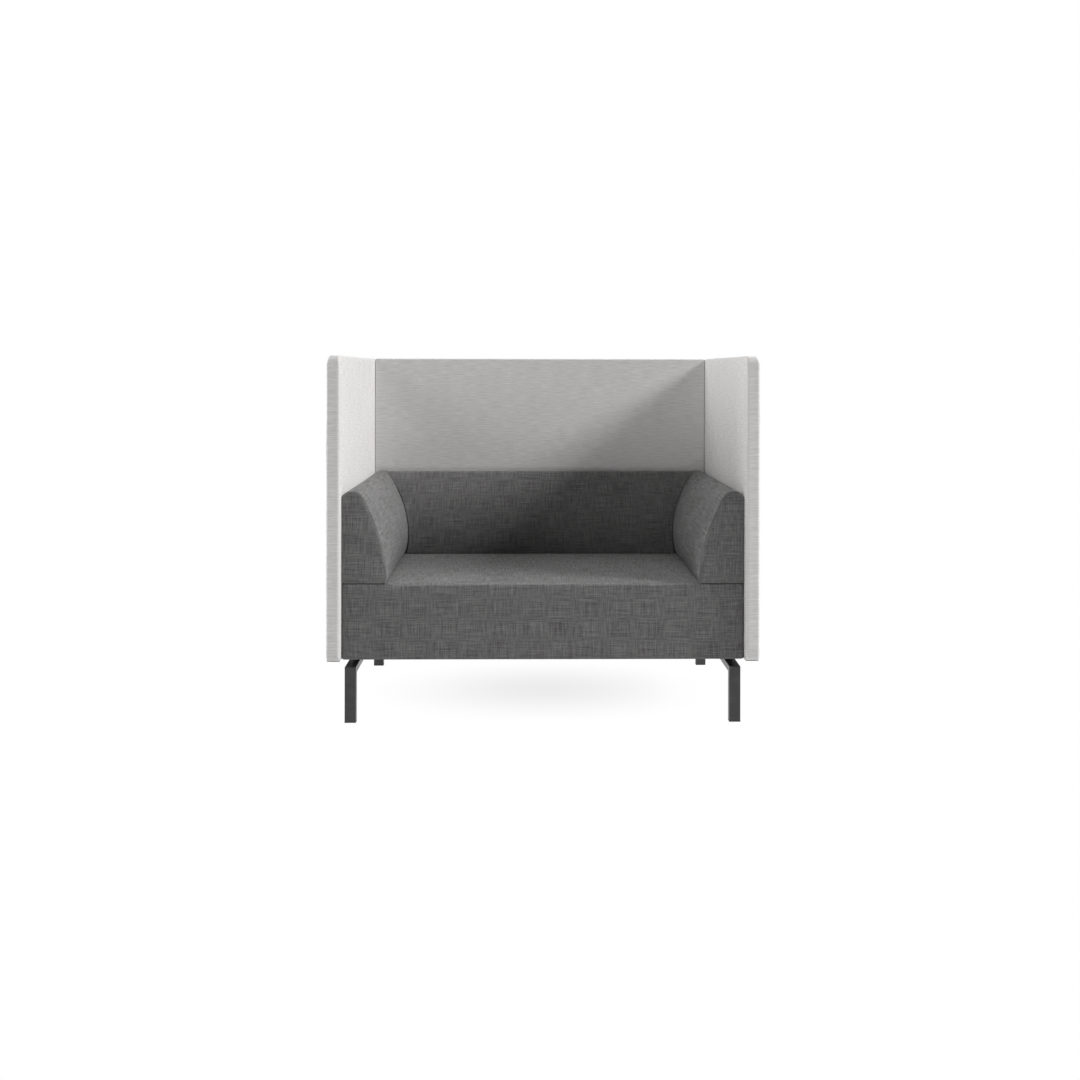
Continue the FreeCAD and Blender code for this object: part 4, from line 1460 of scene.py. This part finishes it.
@dataclass
class BackCushion(PaddedPiece):
    """The fixed back: a crest profile carried from arm to arm, its ends scribed to the arms.

    Attributes:
        arm: One of the two arms, which are alike.
        thickness: Thickness at its foot.
        crest_inset: The crest's distance from the rear panel.
        edge_drop: How far the rear side ends below the crest.
        toe_return: How far its toe is taken back, and over what height.
        end_radius: Radius of its face at the ends.
        middle_radius: Radius of its face in the middle.
        gap: Room left to the arms.
        end_edge: Radius of the edge round each end.
        foot_cells: Cells along the foot.
        face_cells: Cells up the face.
    """

    arm: Arm | None = None
    thickness: float = BACK_THICKNESS
    crest_inset: float = 30 * MM
    edge_drop: float = 14 * MM
    toe_return: Pair = (7 * MM, 40 * MM)
    end_radius: float = 0.760
    middle_radius: float = 0.480
    gap: float = 0.5 * MM
    end_edge: float = 2.5 * MM
    foot_cells: int = 17
    face_cells: int = 31

    TURNS: ClassVar[tuple[float, ...]] = (0.0, 30.0, 60.0, 90.0)
    END_CELLS: ClassVar[int] = 2
    FOOT_HOLD: ClassVar[float] = 2 * MM
    CREST_HOLD: ClassVar[float] = 5 * MM
    REAR_HOLD: ClassVar[float] = 2 * MM
    END_HOLD: ClassVar[float] = 3 * MM

    def reach(self, y: Array, z: Array) -> Array:
        """Half the room between the arms, by depth and height."""
        return self.arm.face_at(y, z) - self.gap

    def form(self) -> Form:
        """The profile, fuller by the square of the distance from the ends, carried along X.

        A ring point's X is the station's share of half the room between the arms at its own depth and
        height, so that the ends follow the arms.

        Returns:
            The piece's finished skin, before it swells.
        """
        crest = Crest(self.thickness, self.low[2], self.high[2], self.crest_inset, self.edge_drop)
        foot, face = self.foot_cells, self.face_cells
        radii = self.end_radius, self.middle_radius
        end, middle = (crest.ring(radius, foot, face, self.toe_return) for radius in radii)
        shrink, back = (self.end_edge * steps for steps in quarter_turn(self.TURNS))
        run = stops((-1.0, 1.0), self.cell / self.high[0])[self.END_CELLS : -self.END_CELLS]
        share = np.concatenate([np.full(len(back), -1.0), run, np.full(len(back), 1.0)])
        inset = np.concatenate([shrink, np.zeros(len(run)), shrink[::-1]])
        pull = np.concatenate([back, np.full(len(run), back[-1]), back[::-1]])
        profile = middle + (share**2)[:, None, None] * (end - middle)
        profile = drawn_in(profile, np.tile(inset[:, None], (1, len(end))))
        y, z = self.high[1] - profile[..., 0], profile[..., 1]
        x = share[:, None] * (self.reach(y, z) - pull[:, None])
        rings = np.stack([x, y, z], -1)
        form = closed_form(rings, foot, face, (1, 2), 0)
        patches = slice(rings.shape[0] * rings.shape[1], None)
        ends = form.points[patches]
        ends[:, 0] = np.sign(ends[:, 0]) * self.reach(ends[:, 1], ends[:, 2])
        return form

    def held(self, points: Array) -> Array:
        """The foot, the crest, the rear side and the two ends.

        Args:
            points: Places on the piece.

        Returns:
            Which of them stay where they are.
        """
        x, y, z = points.T
        low_or_high = (z < self.low[2] + self.FOOT_HOLD) | (z > self.high[2] - self.CREST_HOLD)
        at_panel = y > self.high[1] - self.REAR_HOLD
        at_arm = np.abs(x) > self.reach(y, z) - self.END_HOLD
        return low_or_high | at_panel | at_arm

    def kept_clear(self, points: Array) -> Array:
        """Keep off the rear panel, the seat box and the arms.

        Args:
            points: Places on the piece.

        Returns:
            The places, moved back where they reach too far.
        """
        kept = super().kept_clear(points)
        reach = self.reach(kept[:, 1], kept[:, 2])
        kept[:, 0] = np.clip(kept[:, 0], -reach, reach)
        return kept

    def room(self) -> tuple[Array, Array]:
        """In front of the rear panel and above the seat box."""
        return np.array([-np.inf, -np.inf, self.low[2]]), np.array([np.inf, self.high[1], np.inf])


@dataclass
class SeatBox(PaddedPiece):
    """The upholstered seat box, with a crown between the arms.

    Attributes:
        rim_height: Height of its rim, which the arms and the back stand on.
        corner_radius: Radius of its upright edges.
        rim_radius: Radius of its upper edge.
        hem_radius: Radius of its lower edge.
        crowns: Height of the crown at the front, in the middle and at the rear.
        fade: Length over which the crown dies away under the back.
    """

    rim_height: float = 434 * MM
    corner_radius: float = 10 * MM
    rim_radius: float = 8 * MM
    hem_radius: float = 4 * MM
    crowns: Triple = (2 * MM, 7 * MM, 5 * MM)
    fade: float = 9 * MM

    TURNS: ClassVar[tuple[float, ...]] = (0.0, 30.0, 60.0, 90.0)
    ARC_CELLS: ClassVar[int] = 2
    RIM_HOLD: ClassVar[float] = 2 * MM

    def __post_init__(self) -> None:
        """Work out the open part of the seat from the cover's box."""
        super().__post_init__()
        self.seat_half = self.high[0] - ARM_WIDTH
        self.seat_rear = self.high[1] - BACK_THICKNESS

    def crown(self, x: Array, y: Array) -> Array:
        """Height of the seat over its rim.

        Across, it falls off with the square of the distance from the middle; from front to rear it is
        a curve of second order through its three heights, which dies away under the back.

        Args:
            x: Places across.
            y: Places from front to rear.

        Returns:
            One height for each pair.
        """
        nodes = (self.low[1], (self.low[1] + self.seat_rear) / 2, self.seat_rear)
        height = (quadratic(np.minimum(y, self.seat_rear), nodes) * np.array(self.crowns)).sum(axis=-1)
        behind = np.clip((y - self.seat_rear + self.fade / 2) / self.fade, 0, 1)
        return height * np.clip(1 - (x / self.seat_half) ** 2, 0, 1) * (1 - behind)

    def form(self) -> Form:
        """A rounded outline carried up, rounded at its rim and hem, with the crown on top.

        Returns:
            The piece's finished skin, before it swells.
        """
        low, high, radius = self.low, self.high, self.corner_radius
        seat = self.seat_rear
        level = stops((low[0] + radius, -self.seat_half, self.seat_half, high[0] - radius), self.cell)
        faded = seat - self.fade, seat - self.fade / 2, seat + self.fade / 2
        upright = stops((low[1] + radius, *faded, high[1] - radius), self.cell)
        outline = rounded_outline(level, upright, radius, self.ARC_CELLS)
        shrink, sink = (steps[:, None] for steps in quarter_turn(self.TURNS))
        rim = np.full(len(outline.points), self.hem_radius)
        open_front = (np.abs(outline.points[:, 0]) < self.seat_half) & (outline.points[:, 1] < seat)
        rim[open_front] = self.rim_radius
        hem = np.full(len(rim), self.hem_radius)
        run = stops((low[2] + 2 * self.hem_radius, self.rim_height - 2 * self.rim_radius), self.cell)
        middle = np.tile(run[:, None], (1, len(rim)))
        z = np.concatenate([low[2] + sink * hem, middle, (self.rim_height - sink * rim)[::-1]])
        inset = np.concatenate([shrink * hem, np.zeros_like(middle), (shrink * rim)[::-1]])
        ring = np.tile(outline.points[None], (len(z), 1, 1))
        ring = drawn_in(ring, inset)
        form = closed_form(np.concatenate([ring, z[..., None]], -1), outline.across, outline.up, (0, 1))
        points = form.points
        near_top = np.clip((points[:, 2] - self.rim_height) / (2 * self.rim_radius) + 1, 0, 1)
        points[:, 2] += near_top * self.crown(points[:, 0], points[:, 1])
        return form

    def held(self, points: Array) -> Array:
        """All but the open seat and the front.

        Args:
            points: Places on the piece.

        Returns:
            Which of them stay where they are.
        """
        x, y, z = points.T
        open_seat = (np.abs(x) < self.seat_half) & (y < self.seat_rear)
        open_seat &= z > self.rim_height - 2 * self.rim_radius
        front = (y < self.low[1] + self.rim_radius) & (np.abs(x) < self.high[0] - self.corner_radius)
        front &= (z > self.low[2] + 2 * self.hem_radius) & (z < self.rim_height - self.RIM_HOLD)
        return ~(open_seat | front)

    def room(self) -> tuple[Array, Array]:
        """Between the panels."""
        low, high = (self.low[0], -np.inf, -np.inf), (self.high[0], self.high[1], np.inf)
        return np.array(low), np.array(high)


@dataclass
class Lining:
    """The black lining cloth under the seat box, and the staples that hold it.

    Attributes:
        name: The cloth's name.
        stands_for: The solid that it replaces.
        cell: Size of one cell.
        hem: Width of the turned-in hem.
        sag: How far the cloth hangs down in the middle of its span.
        pucker: Height of its puckers.
        pucker_wave: Typical length of a pucker.
        seed: Starting number of the puckers.
        thickness: Thickness of the cloth.
        staple: A staple's length, width and height.
        staple_pitch: Distance between staples.
    """

    name: str = "lining_cloth"
    stands_for: str = "dust_cover"
    cell: float = 14 * MM
    hem: float = 22 * MM
    sag: float = 2.5 * MM
    pucker: float = 0.35 * MM
    pucker_wave: float = 0.11
    seed: int = 41
    thickness: float = 0.6 * MM
    staple: Triple = (11 * MM, 1.1 * MM, 0.8 * MM)
    staple_pitch: float = 62 * MM

    BAR_STEPS: ClassVar[tuple[float, ...]] = (-0.5, -0.46, -0.4, 0.4, 0.46, 0.5)
    BAR_RISE: ClassVar[tuple[float, ...]] = (1.0, 0.35, 0.0, 0.0, 0.35, 1.0)
    BAR_SIDES: ClassVar[int] = 6
    STANDS_OFF: ClassVar[float] = 0.1

    def build(self) -> None:
        """Make the sheet: it hangs by the product of two half sine waves, and puckers at its hem."""
        low, high = solid_box(self.stands_for)
        x = stops((low[0], low[0] + self.hem, high[0] - self.hem, high[0]), self.cell)
        y = stops((low[1], low[1] + self.hem, high[1] - self.hem, high[1]), self.cell)
        across, along = np.meshgrid(x, y)
        share_x, share_y = (across - low[0]) / (high[0] - low[0]), (along - low[1]) / (high[1] - low[1])
        hang = self.sag * np.sin(math.pi * share_x) * np.sin(math.pi * share_y)
        flat = np.stack([across, along, np.zeros_like(across)], -1)
        pucker = ripples(flat.reshape(-1, 3), self.pucker_wave, self.pucker, self.seed)
        points = np.stack([across, along, high[2] - hang - np.abs(pucker.reshape(across.shape))], -1)
        numbers = np.arange(across.size).reshape(across.shape)
        self.size = (high[0] - low[0], high[1] - low[1])
        form = Form(points.reshape(-1, 3), corners(numbers)[:, ::-1], corners(flat[..., :2])[:, ::-1])
        self.sheet = new_object(self.name, form)
        wall = self.sheet.modifiers.new("thickness", "SOLIDIFY")
        wall.thickness, wall.offset = self.thickness, -1.0
        self.staples = new_object("lining_staples", self.staple_form(low, high))

    def staple_form(self, low: Array, high: Array) -> Form:
        """Staples in a row along each edge: one rounded bar, set out at every place as one array.

        Args:
            low: The lining's lowest corner.
            high: Its highest corner.

        Returns:
            All staples as one surface.
        """
        length, width, height = self.staple
        inset = self.hem / 2
        x = stops((low[0] + 2 * self.hem, high[0] - 2 * self.hem), self.staple_pitch)
        y = stops((low[1] + 2 * self.hem, high[1] - 2 * self.hem), self.staple_pitch)
        rows = [np.stack([x, np.full(len(x), edge)], -1) for edge in (low[1] + inset, high[1] - inset)]
        rows += [np.stack([np.full(len(y), edge), y], -1) for edge in (low[0] + inset, high[0] - inset)]
        turned = np.concatenate([np.zeros(2 * len(x), bool), np.ones(2 * len(y), bool)])
        around = np.radians(np.arange(0, 360, 360 // self.BAR_SIDES) + 180 // self.BAR_SIDES)
        along = np.array(self.BAR_STEPS) * length
        rise = np.array(self.BAR_RISE) * height
        bar = np.zeros((len(along), len(around), 3))
        bar[..., 0] = along[:, None]
        bar[..., 1] = 0.5 * width * np.cos(around)
        bar[..., 2] = 0.5 * height * np.sin(around) + rise[:, None]
        one = closed_form(bar, 2, 1, (1, 2), 0)
        spot = np.concatenate(rows)
        crosswise = one.points[:, [1, 0, 2]] * (1, -1, 1)
        shape = np.where(turned[:, None, None], crosswise, one.points)
        level = np.full((len(spot), 1), low[2] - self.STANDS_OFF * height)
        points = shape + np.concatenate([spot, level], -1)[:, None]
        quads = one.quads[None] + (np.arange(len(spot)) * len(one.points))[:, None, None]
        cloth = np.tile(one.cloth[None], (len(spot), 1, 1, 1))
        return Form(points.reshape(-1, 3), quads.reshape(-1, 4), cloth.reshape(-1, 4, 2))

    def dress(self) -> None:
        """Give the cloth and the staples their finishes and their places on the sofa."""
        self.sheet.data.materials.append(material_of(LINING))
        self.staples.data.materials.append(material_of(ZINC))
        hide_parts(self.stands_for)
        for piece in (self.sheet, self.staples):
            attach(piece, BODY)
            log.info("%s: %d quads", piece.name, len(piece.data.polygons))


@dataclass(frozen=True)
class KeptSolids:
    """Solids whose shape is right, and which only need a finish.

    Attributes:
        title: What they are together.
        finishes: The finish of each solid, by name.
    """

    title: str
    finishes: dict[str, Finish]

    def dress(self) -> None:
        """Give each solid its finish."""
        for name, finish in self.finishes.items():
            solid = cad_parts[name]
            solid.data.materials.clear()
            solid.data.materials.append(material_of(finish))
            log.info("%s: %s", self.title, name)


@dataclass(frozen=True)
class Lamp:
    """A square soft light.

    Attributes:
        name: Its name.
        bearing: Degrees to the right of straight in front.
        height: Degrees above the level.
        distance: Distance from what it is aimed at.
        size: Length of its side.
        level: Brightness that it gives a white surface that faces it.
    """

    name: str
    bearing: float
    height: float
    distance: float
    size: float
    level: float

    def build(self, target: Array) -> None:
        """Place the lamp and aim it.

        A small even light of power P gives P / (pi d squared) at distance d, and white returns a pi-th
        part of that, so the power is the level times pi squared times d squared.

        Args:
            target: What it is aimed at.
        """
        bearing, height = math.radians(self.bearing), math.radians(self.height)
        way = np.array([
            math.sin(bearing) * math.cos(height),
            -math.cos(bearing) * math.cos(height),
            math.sin(height),
        ])
        light = bpy.data.lights.new(self.name, "AREA")
        light.shape = "SQUARE"
        light.size = self.size
        light.energy = self.level * (math.pi * self.distance) ** 2
        lamp = bpy.data.objects.new(self.name, light)
        lamp.location = target + self.distance * way
        lamp.rotation_euler = (math.radians(90 - self.height), 0.0, bearing)
        bpy.context.scene.collection.objects.link(lamp)


@dataclass
class Studio:
    """Camera, soft light and a white floor.

    Attributes:
        eye: The camera's place.
        heading: Angle of its view to the right of straight ahead, in radians.
        lean: Angle by which its right side is turned down, in radians.
        lens: Focal length in millimetres, on the sensor below.
        sensor: Width of the sensor in millimetres.
        aside: How far the picture is shifted to the right, as a share of its width.
        drop: How far it is shifted down, with the camera level.
        target: What the lamps are aimed at.
        lamps: The lamps.
        ambient: Brightness of the even light from all round.
        floor_size: Length of the floor's side.
        shadow_reach: Distances from the middle, across and along, at which the floor's shadow ends.
        shadow_share: How much of the floor's own shading shows in the middle.
        floor_paint: Colour of the floor.
    """

    eye: Triple = (-0.0575, -3.4950, 1.0885)
    heading: float = 0.0139
    lean: float = -0.0018
    lens: float = 33.88
    sensor: float = 36.0
    aside: float = 0.0007
    drop: float = 0.1553
    target: Triple = (0.0, 0.0, 0.65)
    lamps: tuple[Lamp, ...] = (
        Lamp("key", bearing=78.0, height=34.0, distance=10.0, size=2.6, level=1.00),
        Lamp("side", bearing=-90.0, height=12.0, distance=10.0, size=3.6, level=0.52),
        Lamp("fill", bearing=-60.0, height=30.0, distance=10.0, size=4.4, level=0.18),
        Lamp("front", bearing=-30.0, height=10.0, distance=10.0, size=4.4, level=0.03),
        Lamp("top", bearing=180.0, height=60.0, distance=8.0, size=5.0, level=0.55),
    )
    ambient: float = 0.01
    floor_size: float = 24.0
    shadow_reach: Pair = (0.66, 0.38)
    shadow_share: float = 0.17
    floor_paint: Colour = (0.86, 0.86, 0.86)

    def build(self) -> None:
        """Set up the camera, the lamps, the surroundings and the floor."""
        scene = bpy.context.scene
        scene.view_settings.view_transform = "Standard"
        camera = bpy.data.cameras.new("camera")
        camera.sensor_fit, camera.sensor_width = "HORIZONTAL", self.sensor
        camera.lens = self.lens
        camera.shift_x, camera.shift_y = self.aside, -self.drop
        viewer = bpy.data.objects.new("camera", camera)
        viewer.location = self.eye
        viewer.rotation_euler = (math.pi / 2, self.lean, -self.heading)
        scene.collection.objects.link(viewer)
        scene.camera = viewer
        for lamp in self.lamps:
            lamp.build(np.array(self.target))
        self.surround(scene)
        self.lay_floor()

    def surround(self, scene: bpy.types.Scene) -> None:
        """White to the eye, and an even soft light on the sofa.

        Args:
            scene: The scene to surround.
        """
        world = bpy.data.worlds.new("surroundings")
        recipe = Recipe(world, "ShaderNodeOutputWorld")
        strength = recipe.seen() * (1.0 - self.ambient) + self.ambient
        light = recipe.node("ShaderNodeBackground", sockets={0: WHITE, 1: strength})
        scene.world = recipe.finish(light)

    def lay_floor(self) -> None:
        """A white floor that shows its shading near the sofa and fades into plain white further off."""
        half = self.floor_size / 2
        x, y = np.meshgrid([-half, half], [-half, half])
        points = np.stack([x, y, np.zeros_like(x)], -1)
        numbers = np.arange(4).reshape(2, 2)
        form = Form(points.reshape(-1, 3), corners(numbers), corners(points[..., :2]))
        floor = new_object("floor", form)
        recipe = Recipe.material("floor")
        place = recipe.stretch(recipe.places(), (1 / self.shadow_reach[0], 1 / self.shadow_reach[1], 0.0))
        length = recipe.node("ShaderNodeVectorMath", {"operation": "LENGTH"}, {0: place}, "Value")
        near = 1.0 - length.clear(0.0, 1.0)
        plain = recipe.seen() * (1.0 - near * self.shadow_share)
        paint = recipe.node("ShaderNodeBsdfDiffuse", sockets={"Color": (*self.floor_paint, 1.0)})
        glow = recipe.node("ShaderNodeEmission", sockets={"Color": WHITE, "Strength": 1.0})
        floor.data.materials.append(recipe.finish(recipe.mixed(plain, paint, glow)))


def swell_all(pieces: Sequence[PaddedPiece]) -> None:
    """Let all padded pieces swell together, frame by frame, and keep the result.

    Args:
        pieces: The padded pieces.
    """
    scene = bpy.context.scene
    scene.frame_start, scene.frame_end = 1, SWELL_FRAMES
    for piece in pieces:
        piece.start_swelling()
    for number in range(1, SWELL_FRAMES + 1):
        scene.frame_set(number)
    graph = bpy.context.evaluated_depsgraph_get()
    for piece in pieces:
        piece.stop_swelling(graph)
    scene.frame_set(1)


def padded_pieces() -> list[PaddedPiece]:
    """The seven upholstered pieces.

    Returns:
        The panels, the seat box, the arms and the back.
    """
    pale = {"finish": PANEL_CLOTH, "slot": "panel_fabric", "cell": 14 * MM, "seam_depth": 0.7 * MM}
    dark = {"finish": SEAT_CLOTH, "slot": "seat_fabric"}
    panels = [
        Panel(
            name=f"{side.word}_panel", side=side, seed=10 + side.value,
            stands_for=(f"{side.word}_panel_cover", f"{side.word}_panel_padding"), **pale,
        )
        for side in Side
    ]
    panels.append(Panel(
        name="rear_panel", seed=14, corner_radius=7 * MM,
        stands_for=("rear_panel_cover", "rear_panel_padding"), **pale,
        inner_edges=(1.5 * MM, 1.5 * MM, 4 * MM, 1.5 * MM), outer_edges=(1.5 * MM, 3 * MM, 12 * MM, 3 * MM),
    ))
    arms = [
        Arm(
            name=f"{side.word}_arm", side=side, seed=20 + side.value, swell=5 * MM,
            stands_for=(f"{side.word}_arm_cover", f"{side.word}_arm_foam"), **dark,
        )
        for side in Side
    ]
    back = BackCushion(
        name="back_cushion", arm=arms[1], seed=24, stands_for=("back_cover", "back_foam"), **dark
    )
    paddings = (f"{place}_padding" for place in ("front", "rear", "left_side", "right_side"))
    seat = SeatBox(
        name="seat_box", cell=13 * MM, seed=27, stands_for=("base_cover", "seat_foam", *paddings), **dark
    )
    return [*panels, seat, *arms, back]


def kept_solids() -> list[KeptSolids]:
    """The pieces whose solids stay, by sub-assembly.

    Returns:
        The finishes of each sub-assembly.
    """
    pine, ply = {}, {}
    for grain in Grain:
        word = grain.name.lower()
        pine[grain] = Timber(
            name=f"softwood_{word}", early=(0.66, 0.49, 0.31), late=(0.45, 0.28, 0.14), grain=grain
        )
        ply[grain] = Plywood(
            name=f"plywood_{word}", pale=(0.72, 0.58, 0.42), brown=(0.50, 0.35, 0.21), layered=grain
        )
    x, y, z = Grain
    # Near-black plywood for the arm soles: painted shade, so that the gap under each arm's foot shows as a
    # dark shadow line along the seat.
    shadow_dark_ply = Plywood(
        name="plywood_painted_shadow", pale=(0.030, 0.029, 0.028), brown=(0.018, 0.017, 0.016), layered=z
    )
    return [
        KeptSolids("leg frames", {
            "left_leg_frame": CHARCOAL, "right_leg_frame": CHARCOAL, "leg_spacers": CHARCOAL,
            "foot_glides": BLACK_PLASTIC, "leg_bolts": ZINC, "leg_inserts": ZINC,
        }),
        KeptSolids("seat frame", {
            "left_rail": pine[y], "right_rail": pine[y], "front_rail": pine[x], "rear_rail": pine[x],
            "center_brace": pine[y], "corner_blocks": pine[z], "seat_webbing": STRAP, "cross_webbing": STRAP,
        }),
        KeptSolids("arms and back", {
            # The arm soles take the near-black plywood that paints the shadow line under each arm's foot.
            "left_arm_sole": shadow_dark_ply, "right_arm_sole": shadow_dark_ply, "left_arm_board": ply[x],
            "right_arm_board": ply[x], "back_sole": ply[z], "back_board": ply[y],
        }),
        KeptSolids("panels", {
            "left_panel_board": ply[x], "right_panel_board": ply[x], "rear_panel_board": ply[y],
            "panel_closing_strips": BUSH_PLASTIC, "panel_bolts": ZINC, "panel_bushes": BUSH_PLASTIC,
            "panel_inserts": ZINC,
        }),
    ]


def main() -> None:
    """Build the sofa piece by piece, in its studio."""
    logging.basicConfig(level=logging.INFO, format="%(name)s: %(message)s")
    Studio().build()
    padded = padded_pieces()
    for piece in padded:
        piece.build()
    swell_all(padded)
    for piece in padded:
        piece.sew()
        piece.dress()
    lining = Lining()
    lining.build()
    lining.dress()
    for solids in kept_solids():
        solids.dress()


if __name__ == "__main__":
    main()
